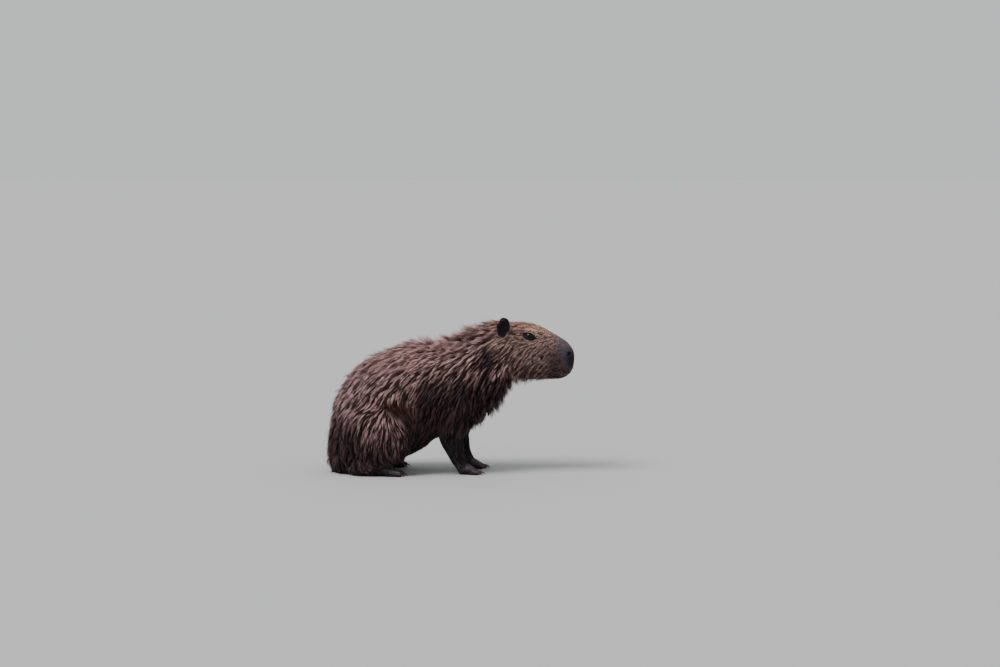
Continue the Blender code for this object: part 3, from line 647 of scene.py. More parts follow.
def eye_distance(points, side):
    """How far points lie from the middle of the eye's slit, 1 at the lids' edge, and how high over it."""
    out, slit, across = eye_axes(side)
    ray = unit(points - EYE[side])
    forward = ray @ out
    a = np.arctan2(ray @ slit, forward)
    b = np.arctan2(ray @ across, forward)
    high = np.where(b > 0, UPPER_HALF_HEIGHT, LOWER_HALF_HEIGHT)
    power = SLIT_SQUARENESS
    far = ((np.abs(a) / SLIT_HALF_LENGTH) ** power + (np.abs(b) / high) ** power) ** (1 / power)
    return np.where(forward > 0.05, far, FAR_OFF), b


def on_lids(points, outer, inner):
    """1 on the eyes' slits and the lids round them, falling to 0 between two distances from the slit."""
    masks = []
    for side in SIDES:
        near = np.linalg.norm(points - EYE[side], axis=1) < LIDS_REACH
        masks.append(ease(outer, inner, eye_distance(points, side)[0]) * near)
    return strongest(*masks)


def model_eyelids(points):
    """Opens the skin over the eyeball and lays two thick lids round the slit."""
    for side in SIDES:
        away = points - EYE[side]
        distance = np.linalg.norm(away, axis=1)
        near = distance < EYE_SURROUND
        edge, b = eye_distance(points, side)
        edge_lift = np.interp(edge, *LID_HEIGHT) * MM
        edge_lift += np.where(b > 0, 0.5 * MM, 0) * ease(0.95, 1.1, edge) * ease(1.6, 1.2, edge)
        held = ease(2.3, 1.35, edge) * near
        target = EYE_RADIUS + edge_lift
        new = distance * (1 - held) + np.minimum(target, np.where(edge < 1.3, target, distance)) * held
        points += unit(away) * (new - distance)[:, None]
        brow = bell(points, EYE[side] + np.array((0.010, 0, 0.020)), (0.026, 0.030, 0.008))
        points[:, 1] += SIDES[side] * 2.0 * MM * brow
        points[:, 2] += 1.5 * MM * brow
        for turn in (1.9, 2.35):
            fold = np.exp(-(((edge - turn) / 0.10) ** 2)) * near * (b < 0.3) * (distance > EYE_RADIUS)
            points -= unit(away) * (fold * 0.6 * MM)[:, None]


def model_nostrils(points):
    """Sinks the two comma-shaped nostrils, each with a raised rim."""
    for sign in SIDES.values():
        out = unit(np.array(on_side(NOSTRIL_OUT, sign)))
        tail = unit(np.array(on_side(NOSTRIL_TAIL, sign)))
        tail = unit(tail - out * (tail @ out))
        across = np.cross(out, tail)
        away = points - np.array(on_side(NOSTRIL, sign))
        a = away @ tail
        b = away @ across
        depth = away @ out
        hole = np.sqrt((a / (7.4 * MM)) ** 2 + (b / (6.2 * MM)) ** 2)
        hook = np.sqrt(((a - 8.0 * MM) / (6.5 * MM)) ** 2 + ((b + sign * 2.6 * MM) / (2.6 * MM)) ** 2)
        near = np.abs(depth) < 0.018
        pit = ease(1.15, 0.55, hole) * 8.5 * MM + ease(1.2, 0.5, hook) * 3.5 * MM
        rim = np.exp(-(((np.minimum(hole, hook) - 1.45) / 0.35) ** 2)) * 1.1 * MM
        points -= out * ((pit - rim) * near)[:, None]


def mouth_distance(points):
    """How far points lie from the line of the closed mouth, and how high over it."""
    half = np.array(MOUTH_LINE)
    line = np.vstack([half[::-1], half[1:] * (1, -1, 1)])
    best = np.full(len(points), FAR_OFF)
    over = np.zeros(len(points))
    for first, second in zip(line, line[1:]):
        span = second - first
        t = np.clip((points - first) @ span / (span @ span), 0, 1)
        away = points - first - t[:, None] * span
        distance = np.linalg.norm(away * (0.35, 0.35, 1.0), axis=1)
        closer = distance < best
        over = np.where(closer, away[:, 2], over)
        best = np.where(closer, distance, best)
    return best, over


def model_mouth(points, normals):
    """Draws the line of the mouth, the lips over and under it, and the groove under the nose."""
    distance, over = mouth_distance(points)
    front = ease(0.338, 0.352, points[:, 0]) * ease(0.385, 0.365, points[:, 2])
    line = np.exp(-((distance / (1.5 * MM)) ** 2)) * 3.2 * MM
    lips = np.exp(-(((distance - 5.5 * MM) / (3.0 * MM)) ** 2)) * np.where(over > 0, 1.6, 0.9) * MM
    points -= normals * ((line - lips) * front)[:, None]
    groove = np.exp(-((points[:, 1] / (1.5 * MM)) ** 2)) * ease(0.405, 0.420, points[:, 0])
    groove *= ease(0.348, 0.360, points[:, 2]) * ease(0.432, 0.415, points[:, 2])
    points -= normals * (groove * 2.0 * MM)[:, None]


def model_face(skin):
    """All the fine forms of the face."""
    places = list(EYE.values()) + both_sides(NOSTRIL)
    mouth = [tuple(place) for point in MOUTH_LINE for place in both_sides(point)]
    refine(skin, places + mouth, 0.030)
    refine(skin, places, 0.021)
    refine(skin, mouth, 0.012)
    points, normals = mesh_points(skin.data)
    model_mouth(points, normals)
    model_nostrils(points)
    model_eyelids(points)
    set_points(skin.data, points)


def lighten(skin):
    """Takes faces out of the skin where the long coat hides it."""
    points, normals = mesh_points(skin.data)
    coat = Coat(points, normals)
    hidden = coat.body * (1 - near_ears(points)) * (1 - ease(0.02, 0.05, coat.ahead))
    set_group(skin, "hidden", hidden)
    fewer = skin.modifiers.new("fewer", "DECIMATE")
    fewer.vertex_group = "hidden"
    fewer.vertex_group_factor = 4.0
    fewer.ratio = SKIN_LOOSE_SHARE
    apply_modifiers(skin)
    skin.vertex_groups.clear()


def set_marks(mesh, marks_a, marks_b, strand):
    """Stores the markings, and each strand's own numbers, on the mesh's points."""
    for name, values in (("marks_a", marks_a), ("marks_b", marks_b), ("strand", strand)):
        layer = mesh.attributes.new(name, "FLOAT_COLOR", "POINT")
        layer.data.foreach_set("color", np.clip(values, 0, 1).astype(np.float32).ravel())


class Ground:
    """The skin as something to lay hair on: it gives the nearest point and the normal there."""

    def __init__(self, skin):
        mesh = skin.data
        self.points, self.normals = mesh_points(mesh)
        mesh.calc_loop_triangles()
        corners = np.empty(len(mesh.loop_triangles) * 3, np.int32)
        mesh.loop_triangles.foreach_get("vertices", corners)
        self.corners = corners.reshape(-1, 3)
        self.tree = BVHTree.FromPolygons(self.points.tolist(), self.corners.tolist())

    def nearest(self, points):
        """The nearest point of the skin to each point, and the skin's smooth normal there."""
        found = np.empty((len(points), 3))
        face = np.empty(len(points), np.int64)
        find = self.tree.find_nearest
        for i, point in enumerate(points.tolist()):
            place, _, index, _ = find(point)
            found[i] = place
            face[i] = index
        share = shares(found, self.points[self.corners[face]])
        normals = unit((self.normals[self.corners[face]] * share[:, :, None]).sum(1))
        return found, normals


def shares(points, triangles):
    """How much of each corner a point in a triangle holds."""
    a, b, c = triangles[:, 0], triangles[:, 1], triangles[:, 2]
    v0, v1, v2 = b - a, c - a, points - a
    d00 = (v0 * v0).sum(1)
    d01 = (v0 * v1).sum(1)
    d11 = (v1 * v1).sum(1)
    d20 = (v2 * v0).sum(1)
    d21 = (v2 * v1).sum(1)
    whole = np.maximum(d00 * d11 - d01 * d01, 1e-18)
    second = (d11 * d20 - d01 * d21) / whole
    third = (d00 * d21 - d01 * d20) / whole
    found = np.stack([1 - second - third, second, third], 1)
    found = np.clip(found, 0, 1)
    return found / found.sum(1, keepdims=True)


def unwrap_of(skin):
    """A plainer copy of the skin, unwrapped: its tree, its triangles and their places on the unwrap."""
    plain = shown("unwrap", skin.data.copy())
    fewer = plain.modifiers.new("fewer", "DECIMATE")
    fewer.ratio = UNWRAP_SHARE
    apply_modifiers(plain)
    bpy.context.view_layer.objects.active = plain
    for obj in bpy.context.selected_objects:
        obj.select_set(False)
    plain.select_set(True)
    bpy.ops.object.mode_set(mode="EDIT")
    bpy.ops.mesh.select_all(action="SELECT")
    bpy.ops.uv.smart_project(angle_limit=math.radians(66), island_margin=0.003)
    bpy.ops.object.mode_set(mode="OBJECT")
    mesh = plain.data
    mesh.calc_loop_triangles()
    count = len(mesh.loop_triangles)
    corners = np.empty(count * 3, np.int32)
    loops = np.empty(count * 3, np.int32)
    mesh.loop_triangles.foreach_get("vertices", corners)
    mesh.loop_triangles.foreach_get("loops", loops)
    flat = np.empty(len(mesh.loops) * 2, np.float32)
    mesh.uv_layers.active.data.foreach_get("uv", flat)
    points, _ = mesh_points(mesh)
    corners = corners.reshape(-1, 3)
    tree = BVHTree.FromPolygons(points.tolist(), corners.tolist())
    places = flat.reshape(-1, 2)[loops].reshape(-1, 3, 2)
    bpy.data.objects.remove(plain, do_unlink=True)
    return tree, points[corners], places


def places_on(unwrap, roots):
    """Where each root lies on the unwrap."""
    tree, triangles, flat = unwrap
    found = np.empty((len(roots), 3))
    face = np.empty(len(roots), np.int64)
    for i, root in enumerate(roots.tolist()):
        place, _, index, _ = tree.find_nearest(root)
        found[i] = place
        face[i] = index
    share = shares(found, triangles[face])
    return (flat[face] * share[:, :, None]).sum(1)


# Each tuft is a flattened spike with so many sides, and a patch of this size on the unwrap.
RING = 3
FLATNESS = 0.62
PATCH = 0.003
LOWEST_HAIR = 0.4 * MM
ROOT_DEPTH = 0.8 * MM
# Hair lengths in mm, with the roots on a square metre, the width of locks and half the width of tufts,
# in mm too, at these lengths.
ROOT_DENSITY = ((5, 12, 20, 36), (200e3, 180e3, 125e3, 78e3))
LOCK_WIDTH = ((5, 12, 20, 40), (2.8, 2.8, 3.0, 4.6))
TUFT_HALF_WIDTH = ((5, 12, 20, 40), (0.40, 0.58, 0.72, 0.95))
COAT_SEED = 41
# How far roots are scattered round the skin's points.
ROOT_SCATTER = 0.42 * SKIN_GRAIN
# How tufts differ: in length and lift, and how many stray from the coat and stand off more.
LENGTH_SPREAD = (0.70, 1.12)
LIFT_SPREAD = (0.75, 1.25)
STRAY_SHARE = 0.10
STRAY_LIFT = 1.7
# How many steps a tuft takes over the skin, and how far tufts and bristles turn from the lie, in radians.
LAY_STEPS = 3
TUFT_WANDER = 0.06
BRISTLE_WANDER = 0.16
# How many bristles stand on a square metre where they are thickest, and the steepest that they are set
# before their lift is spread.
BRISTLE_DENSITY = 8e3
BRISTLE_STEEPEST = math.radians(62)
# How many times further apart the locks' leaders stand along the lie of the coat than across it.
LOCK_STRETCH = 2.8
# How much of its distance ahead of its leader a tuft keeps when it joins the lock.
LOCK_SLIP = 0.85
# How many leaders near a tuft are weighed, and how many locks near a lock its lightness is set against.
LEADERS_WEIGHED = 8
LOCKS_COMPARED = 9
# How far past the solids' box a tuft may reach before it is left out.
COAT_ROOM = np.array((24, 15, 20)) * MM
# Tufts nearer than this to an ear that they don't grow on are left out.
EAR_CLEARANCE = 3.0 * MM


def by_length(length, table):
    """The value at each length of hair, from a table with lengths in mm."""
    lengths, values = table
    return np.interp(length, [one * MM for one in lengths], values)


def tuft_pattern(rings):
    """The faces of one tuft, a three-sided spike with a closed foot, and the corners' places on its patch."""
    faces = []
    flat = []
    tip = rings * RING
    for k in range(rings - 1):
        for j in range(RING):
            i = (j + 1) % RING
            faces.append((k * RING + j, k * RING + i, (k + 1) * RING + i, (k + 1) * RING + j))
            low, high = k / rings, (k + 1) / rings
            flat += [(j / RING, low), ((j + 1) / RING, low), ((j + 1) / RING, high), (j / RING, high)]
    last = (rings - 1) * RING
    for j in range(RING):
        faces.append((last + j, last + (j + 1) % RING, tip))
        low = (rings - 1) / rings
        flat += [(j / RING, low), ((j + 1) / RING, low), ((j + 0.5) / RING, 1.0)]
    faces.append((2, 1, 0))
    flat += [(0.9, 0.0), (0.5, -0.06), (0.1, 0.0)]
    starts = np.cumsum([0] + [len(face) for face in faces])
    corners = np.array([corner for face in faces for corner in face])
    return corners, starts, (np.array(flat) - 0.5) * PATCH


def tuft_mesh(name, line, out, half_width, girth, coat_marks, strand, root_flat):
    """A mesh of tufts. Each follows its own line of points and tapers to its tip."""
    count, levels = line.shape[:2]
    rings = levels - 1
    run = np.empty_like(line)
    run[:, 1:-1] = line[:, 2:] - line[:, :-2]
    run[:, 0] = line[:, 1] - line[:, 0]
    run[:, -1] = line[:, -1] - line[:, -2]
    run = unit(run)
    side = unit(np.cross(out, run))
    up = np.cross(run, side)
    wide = half_width[:, None, None] * np.array(girth)[None, :, None]
    ring = np.stack(
        [
            line[:, :rings] + side[:, :rings] * wide,
            line[:, :rings] + up[:, :rings] * wide * FLATNESS,
            line[:, :rings] - side[:, :rings] * wide,
        ],
        2,
    )
    verts = np.concatenate([ring.reshape(count, rings * RING, 3), line[:, -1:]], 1)
    verts[:, :, 2] = np.maximum(verts[:, :, 2], LOWEST_HAIR)
    per = rings * RING + 1
    corners, starts, patch = tuft_pattern(rings)
    offsets = np.arange(count)[:, None]
    loops = (corners[None] + offsets * per).ravel()
    loop_starts = (starts[None, :-1] + offsets * starts[-1]).ravel()
    mesh = bpy.data.meshes.new(name)
    mesh.vertices.add(count * per)
    mesh.vertices.foreach_set("co", verts.astype(np.float32).ravel())
    mesh.loops.add(len(loops))
    mesh.loops.foreach_set("vertex_index", loops.astype(np.int32))
    mesh.polygons.add(len(loop_starts))
    mesh.polygons.foreach_set("loop_start", loop_starts.astype(np.int32))
    mesh.update(calc_edges=True)
    mesh.shade_smooth()
    layer = mesh.uv_layers.new(name="OFBake")
    flat = root_flat[:, None, :] + patch[None]
    layer.data.foreach_set("uv", flat.astype(np.float32).ravel())
    height = np.concatenate([np.repeat(np.arange(rings) / rings, RING), [1.0]])
    own = np.repeat(strand[:, None, :], per, 1)
    own[:, :, 0] = height[None]
    set_marks(
        mesh,
        np.repeat(coat_marks[0][:, None], per, 1).reshape(-1, 4),
        np.repeat(coat_marks[1][:, None], per, 1).reshape(-1, 4),
        own.reshape(-1, 4),
    )
    return mesh


def distance_to_nostrils(points):
    """How far each point lies from the middle of the nearer nostril."""
    return np.min([np.linalg.norm(points - place, axis=1) for place in both_sides(NOSTRIL)], axis=0)


def bare(points, normals):
    """1 where no hair grows: round the eyes, in the nostrils, along the mouth and under the feet."""
    lips = ease(2.6 * MM, 1.8 * MM, mouth_distance(points)[0]) * (points[:, 0] > MOUTH_CORNER_X)
    soles = ease(1.5 * MM, 0.5 * MM, points[:, 2]) * (normals[:, 2] < -0.5)
    nostrils = ease(12 * MM, 9 * MM, distance_to_nostrils(points))
    lids = np.maximum(on_lids(points, 1.45, 1.25), ease(0.3, 0.7, eye_patch(points)))
    return strongest(lids, nostrils, lips, soles)


def scatter_roots(ground, random):
    """Roots of the coat, as dense as each region's hair is fine."""
    points, normals = ground.points, ground.normals
    coat = Coat(points, normals)
    density = by_length(coat.length, ROOT_DENSITY)
    density *= 1 - 0.35 * ease(0.35, 0.42, points[:, 0]) * coat.head
    density *= 1 + 0.30 * np.clip(coat.nape + coat.throat + coat.jaw, 0, 1)
    density *= (1 - 0.30 * coat.foot) * (1 - 0.4 * coat.ear) * (1 - 0.25 * coat.leg)
    density *= 1 + 0.12 * coat.body
    expected = density * SKIN_GRAIN**2 * (1 - bare(points, normals))
    expected *= 1 - 0.9 * ease(-0.6, -0.95, normals[:, 2]) * (points[:, 2] < 0.004)
    number = np.floor(expected + random.random(len(points))).astype(int)
    chosen = np.repeat(np.arange(len(points)), number)
    jitter = random.normal(0, ROOT_SCATTER, (len(chosen), 3))
    jitter -= normals[chosen] * (jitter * normals[chosen]).sum(1, keepdims=True)
    return ground.nearest(points[chosen] + jitter)


def laid_lines(ground, roots, normals, coat, random, wander):
    """The line of each tuft: it leaves the skin, then follows the lie of the coat over it."""
    count = len(roots)
    base = roots
    out = normals
    lines = [roots - normals * ROOT_DEPTH]
    outs = [normals]
    turn = random.normal(0, wander, count)
    length = coat.length * random.uniform(*LENGTH_SPREAD, count)
    stray = random.random(count) < STRAY_SHARE
    lift = coat.lift * random.uniform(*LIFT_SPREAD, count) * np.where(stray, STRAY_LIFT, 1.0)
    straight = np.clip(coat.nape + coat.throat, 0, 1)
    for level in range(1, LAY_STEPS + 1):
        way = lie_of_coat(base)
        way = unit(way - out * (way * out).sum(1, keepdims=True))
        way = way * np.cos(turn)[:, None] + np.cross(out, way) * np.sin(turn)[:, None]
        step = length * np.cos(lift) / LAY_STEPS
        base, out = ground.nearest(base + way * step[:, None])
        part = level / LAY_STEPS
        rise = straight * part + (1 - straight) * (1 - (1 - part) ** 1.7)
        height = length * np.sin(lift) * rise
        lines.append(base + out * height[:, None])
        outs.append(out)
    return np.stack(lines, 1), np.stack(outs, 1)


def tree_of(places):
    """The places as a tree to find the nearest in."""
    tree = KDTree(len(places))
    for i, place in enumerate(places.tolist()):
        tree.insert(place, i)
    tree.balance()
    return tree


def nearest_places(tree, points, number):
    """The numbers of the tree's places that are nearest to each point."""
    return np.array([[item[1] for item in tree.find_n(point, number)] for point in points.tolist()])


def lock_leaders(roots, ways, outs, random, spacing):
    """Tufts picked to lead a lock each: closer together across the lie of the coat than along it."""
    tree = tree_of(roots)
    sides = np.cross(outs, ways)
    free = np.ones(len(roots), bool)
    leaders = []
    for i in random.permutation(len(roots)):
        if free[i]:
            leaders.append(i)
            found = tree.find_range(roots[i].tolist(), LOCK_STRETCH * spacing[i])
            near = np.array([item[1] for item in found])
            away = roots[near] - roots[i]
            across = away @ sides[i]
            along = away @ ways[i] / LOCK_STRETCH
            free[near[across**2 + along**2 < spacing[i] ** 2]] = False
    return np.array(leaders)


def gathered(lines, outs, roots, random, spacing, pull, rise):
    """Draws the tufts together into long thin locks: each closes up sideways to its leading tuft.

    Tufts close up most at their tips. Returns the lines, how light each lock is and how near its edge
    each tuft stands; the finish darkens tufts near a lock's edge as painted shade between the locks, and
    its light and dark locks are partly tone and partly painted light and shade. Locks that follow one
    another along the lie of the coat are alike, so that long streaks run through it.
    """
    ways = unit(lines[:, -1] - lines[:, 0])
    ways = unit(ways - outs[:, 0] * (ways * outs[:, 0]).sum(1, keepdims=True))
    leaders = lock_leaders(roots, ways, outs[:, 0], random, spacing)
    heads = tree_of(roots[leaders])
    found = nearest_places(heads, roots, LEADERS_WEIGHED)
    away = roots[:, None] - roots[leaders][found]
    lead_way = ways[leaders][found]
    along = (away * lead_way).sum(2)
    across = np.linalg.norm(away - lead_way * along[:, :, None], axis=2)
    measure = across**2 + (along / LOCK_STRETCH) ** 2
    nearest = measure.argmin(1)
    every = np.arange(len(roots))
    lock = found[every, nearest]
    apart = across[every, nearest] / spacing
    along = along[every, nearest]
    lead = leaders[lock]
    firmness = random.uniform(0.60, 1.0, len(leaders))[lock]
    levels = lines.shape[1]
    ramp = np.linspace(0, 1, levels)[None, 1:, None]
    slip = ways[lead] * (along * LOCK_SLIP)[:, None]
    for level in range(1, levels):
        share = pull * firmness * (level / (levels - 1)) ** 1.15
        target = lines[lead, level] + slip
        lines[:, level] += (target - lines[:, level]) * share[:, None]
    bold = 1.9 * random.random(len(leaders)) ** 3 - 0.45
    lines[:, 1:] += outs[lead, 1:] * (bold[lock] * rise)[:, None, None] * ramp
    way = ways[leaders]
    reach = (LOCK_STRETCH * 1.1 * spacing[leaders])[:, None]
    after = nearest_places(heads, roots[leaders] + way * reach, 1)[:, 0]
    before = nearest_places(heads, roots[leaders] - way * reach, 1)[:, 0]
    light = random.random(len(leaders))
    light = 0.60 * light + 0.20 * light[before] + 0.20 * light[after]
    around = nearest_places(heads, roots[leaders], LOCKS_COMPARED)
    light = light - 0.85 * light[around].mean(1)
    light = np.clip(0.5 + (light - light.mean()) / (2.8 * light.std()), 0, 1)
    return lines, light[lock], ease(0.20, 0.85, apart)


def bristles(ground, random):
    """Long single hairs over the coat that break its outline, most on the nape, throat, back and rump."""
    points, normals = ground.points, ground.normals
    coat = Coat(points, normals)
    along_top = coat.crest * coat.body
    wish = 1.0 * coat.nape + 0.75 * coat.throat + 0.50 * along_top + 0.45 * coat.rump + 0.55 * coat.jaw
    wish = np.clip(wish + 0.16 * coat.body, 0, 1) * (1 - bare(points, normals)) * (1 - coat.ear)
    chosen = np.nonzero(random.random(len(points)) < wish * BRISTLE_DENSITY * SKIN_GRAIN**2)[0]
    jitter = random.normal(0, ROOT_SCATTER, (len(chosen), 3))
    roots, normals = ground.nearest(points[chosen] + jitter)
    coat = Coat(roots, normals)
    coat.length = coat.length * (1.0 + 0.15 * coat.jaw) * random.uniform(0.80, 1.15, len(roots))
    raised = 7 + 26 * coat.nape + 22 * coat.throat + 6 * coat.crest + 8 * coat.rump + 20 * coat.jaw
    coat.lift = coat.lift + np.radians(raised) * random.uniform(0.2, 1.2, len(roots))
    coat.lift = np.minimum(coat.lift, BRISTLE_STEEPEST)
    lines, outs = laid_lines(ground, roots, normals, coat, random, BRISTLE_WANDER)
    return lines, outs, roots


def name_of_piece(roots, coat):
    """Which piece of the coat each root belongs to."""
    x, y, _ = roots.T
    names = np.select(
        [coat.head > 0.5, coat.leg > 0.5, x > 0.0, x > -0.12, x > -0.24, x > -0.345],
        ["head", "legs", "neck", "shoulder", "flank", "haunch"],
        "rump",
    )
    return np.char.add(np.char.add("coat_", names.astype(str)), np.where(y < 0, "_right", "_left"))


def grow_coat(ground, unwrap, finish):
    """Grows the whole coat, piece by piece."""
    random = np.random.default_rng(COAT_SEED)
    roots, normals = scatter_roots(ground, random)
    coat = Coat(roots, normals)
    lines, outs = laid_lines(ground, roots, normals, coat, random, TUFT_WANDER)
    clear = np.ones(len(roots), bool)
    for end in (lines[:, -1], lines[:, -2]):
        off_ear = (distance_to_ears(end) > EAR_CLEARANCE) & (ear_foot(end) < 0.3)
        clear &= (eye_patch(end) < 0.25) & ((coat.ear > 0.5) | off_ear)
    lines, outs, roots, normals = lines[clear], outs[clear], roots[clear], normals[clear]
    coat = Coat(roots, normals)
    spacing = by_length(coat.length, LOCK_WIDTH) * MM
    spacing *= (1 + 0.15 * np.clip(coat.nape + coat.throat + coat.jaw, 0, 1)) * (1 - 0.15 * coat.head)
    pull = 0.92 * ease(4 * MM, 16 * MM, coat.length)
    rise = 0.07 * coat.body + 0.28 * coat.nape + 0.42 * coat.throat + 0.30 * coat.jaw + 0.10 * coat.rump
    lines, light, edge = gathered(lines, outs, roots, random, spacing, pull, rise * coat.length)
    half_width = by_length(coat.length, TUFT_HALF_WIDTH) * MM
    half_width *= random.uniform(0.8, 1.25, len(roots))
    loose = bristles(ground, random)
    loose_half_width = random.uniform(0.70, 1.20, len(loose[0])) * MM
    half_width = np.concatenate([half_width, loose_half_width])
    light = np.concatenate([light, random.uniform(0.05, 0.60, len(loose[0]))])
    edge = np.concatenate([edge, np.zeros(len(loose[0]))])
    lines, outs, roots = (np.concatenate(pair) for pair in zip((lines, outs, roots), loose))
    coat = Coat(roots, np.concatenate([normals, loose[1][:, 0]]))
    strand = np.stack([np.zeros(len(roots)), random.random(len(roots)), light, edge], 1)
    flat = places_on(unwrap, roots)
    names = name_of_piece(roots, coat)
    low = np.array(cad_low) - COAT_ROOM
    high = np.array(cad_high) + COAT_ROOM
    inside = ((lines > low) & (lines < high)).all((1, 2))
    for name in sorted(set(names[inside])):
        own = inside & (names == name)
        short = name.startswith(("coat_head", "coat_legs"))
        # The half widths at foot and middle, as shares, and the points of the line that the tuft keeps.
        girth = (0.85, 0.90) if short else (0.85, 0.80)
        picked = [0, 1, 3] if short else [0, 2, 3]
        mesh = tuft_mesh(
            name,
            lines[own][:, picked],
            outs[own][:, picked],
            half_width[own],
            girth,
            (coat.marks_a[own], coat.marks_b[own]),
            strand[own],
            flat[own],
        )
        mesh.materials.append(finish)
        piece = shown(name, mesh)
        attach(piece, "root")


class Value:
    """A socket's value. Arithmetic on it adds Math nodes."""

    def __init__(self, finish, socket):
        self.finish = finish
        self.socket = socket

    def math(self, operation, *others):
        """A Math node on this value and the others."""
        inputs = dict(enumerate((self, *others)))
        return self.finish.node("ShaderNodeMath", {"operation": operation}, inputs)

    def __add__(self, other):
        return self.math("ADD", other)

    def __sub__(self, other):
        return self.math("SUBTRACT", other)

    def __mul__(self, other):
        return self.math("MULTIPLY", other)

    def __rsub__(self, other):
        return self.finish.node("ShaderNodeMath", {"operation": "SUBTRACT"}, {0: other, 1: self})

    __radd__ = __add__
    __rmul__ = __mul__

    def clamp(self):
        """The value kept between 0 and 1."""
        settings = {"operation": "ADD", "use_clamp": True}
        return self.finish.node("ShaderNodeMath", settings, {0: self, 1: 0.0})

    def eased(self, low, high):
        """A smooth step from 0 at low to 1 at high."""
        limits = {0: self, 1: low, 2: high, 3: 0.0, 4: 1.0}
        return self.finish.node("ShaderNodeMapRange", {"interpolation_type": "SMOOTHSTEP"}, limits)

    def part(self, output):
        """Another output of the same node."""
        return Value(self.finish, self.socket.node.outputs[output])


class Finish:
    """A material, built node by node."""

    def __init__(self, name, **constants):
        self.material = bpy.data.materials.new(name)
        self.material.use_nodes = True
        self.tree = self.material.node_tree
        self.shader = self.tree.nodes["Principled BSDF"]
        for socket, value in constants.items():
            self.shader.inputs[socket.replace("_", " ")].default_value = value

    def node(self, kind, settings, inputs, output=0):
        """A node of any kind, with its settings and the values or links of its sockets."""
        made = self.tree.nodes.new(kind)
        for name, value in settings.items():
            setattr(made, name, value)
        for socket, value in inputs.items():
            self.give(made.inputs[socket], value)
        return Value(self, made.outputs[output])

    def give(self, socket, value):
        """Links a value to a socket, or sets it there."""
        if isinstance(value, Value):
            self.tree.links.new(value.socket, socket)
        elif isinstance(value, tuple) and len(value) == 3 and len(socket.default_value) == 4:
            socket.default_value = (*value, 1)
        else:
            socket.default_value = value

    def feed(self, socket, value):
        """Gives the shader's socket a value."""
        self.give(self.shader.inputs[socket], value)

    def mixed(self, factor, first, second):
        """A colour between two others."""
        return self.node("ShaderNodeMix", {"data_type": "RGBA"}, {0: factor, 6: first, 7: second}, 2)

    def marks(self, name):
        """The four numbers of a stored marking."""
        whole = self.node("ShaderNodeAttribute", {"attribute_name": name}, {}, "Color")
        split = self.node("ShaderNodeSeparateColor", {}, {0: whole})
        return split, split.part("Green"), split.part("Blue"), whole.part("Alpha")

    def noise(self, scale, detail=3.0, roughness=0.55, vector=None):
        """Noise over the object's own space."""
        place = vector or self.place()
        inputs = {"Vector": place, "Scale": scale, "Detail": detail, "Roughness": roughness}
        return self.node("ShaderNodeTexNoise", {}, inputs, "Fac")

    def place(self):
        """The place in the object's own space."""
        return self.node("ShaderNodeTexCoord", {}, {}, "Object")

    def bumped(self, height, strength, distance):
        """A Bump node that feeds the shader's Normal."""
        inputs = {"Strength": strength, "Distance": distance, "Height": height}
        self.feed("Normal", self.node("ShaderNodeBump", {}, inputs, "Normal"))


# Colours of hair, skin, eyes, claws and floor, painted shade, sheen and highlights among them.
ROOT_BROWN = (0.007, 0.003, 0.003)
BROWN = (0.060, 0.025, 0.024)
# The pale tan tips of the body's coat: partly the hair's own colour, partly a painted highlight.
MAUVE_TAN = (0.780, 0.492, 0.470)
# Lighter brown of the up-facing crest of the back: partly paler hair, partly painted light from above.
CREST_BROWN_AND_TOP_LIGHT = (0.340, 0.195, 0.175)
FOX_RED = (0.110, 0.030, 0.012)
FACE_ROOT = (0.020, 0.010, 0.008)
FACE_BROWN = (0.070, 0.042, 0.036)
FACE_TAN = (0.560, 0.365, 0.320)
CROWN_TAN = (0.860, 0.490, 0.370)
CROWN_BROWN = (0.110, 0.056, 0.043)
SNOUT_DARK = (0.045, 0.036, 0.047)
SNOUT_LILAC = (0.146, 0.130, 0.175)
# A lilac sheen painted on the tops of the toes.
TOE_SHEEN_LILAC = (0.150, 0.125, 0.150)
NOSE_DARK = (0.007, 0.006, 0.009)
NOSE_GREY = (0.050, 0.042, 0.056)
LEG_BLACK = (0.010, 0.006, 0.007)
# A grey sheen painted on the lighter tips of the dark leg and ear hair.
LEG_SHEEN_GREY = (0.140, 0.115, 0.130)
# Darker fur of the underside, and painted shade, from the underside mark.
UNDER_AND_SHADE_DARK = (0.008, 0.003, 0.004)
UNDER_AND_SHADE_BROWN = (0.070, 0.036, 0.035)
PALE_TAN = (0.570, 0.385, 0.295)
EAR_BLACK = (0.014, 0.010, 0.014)
# Near black painted in the nostrils' pits: painted shade.
NOSTRIL_SHADE_BLACK = (0.001, 0.001, 0.001)
PUPIL = (0.002, 0.001, 0.001)
IRIS_DARK = (0.006, 0.003, 0.002)
IRIS_BROWN = (0.018, 0.009, 0.005)
EYE_RIM = (0.012, 0.007, 0.006)
HORN_DARK = (0.022, 0.014, 0.012)
HORN_BROWN = (0.066, 0.044, 0.036)
HORN_TIP = (0.150, 0.108, 0.085)
FLOOR_GREY = (0.49, 0.49, 0.486)


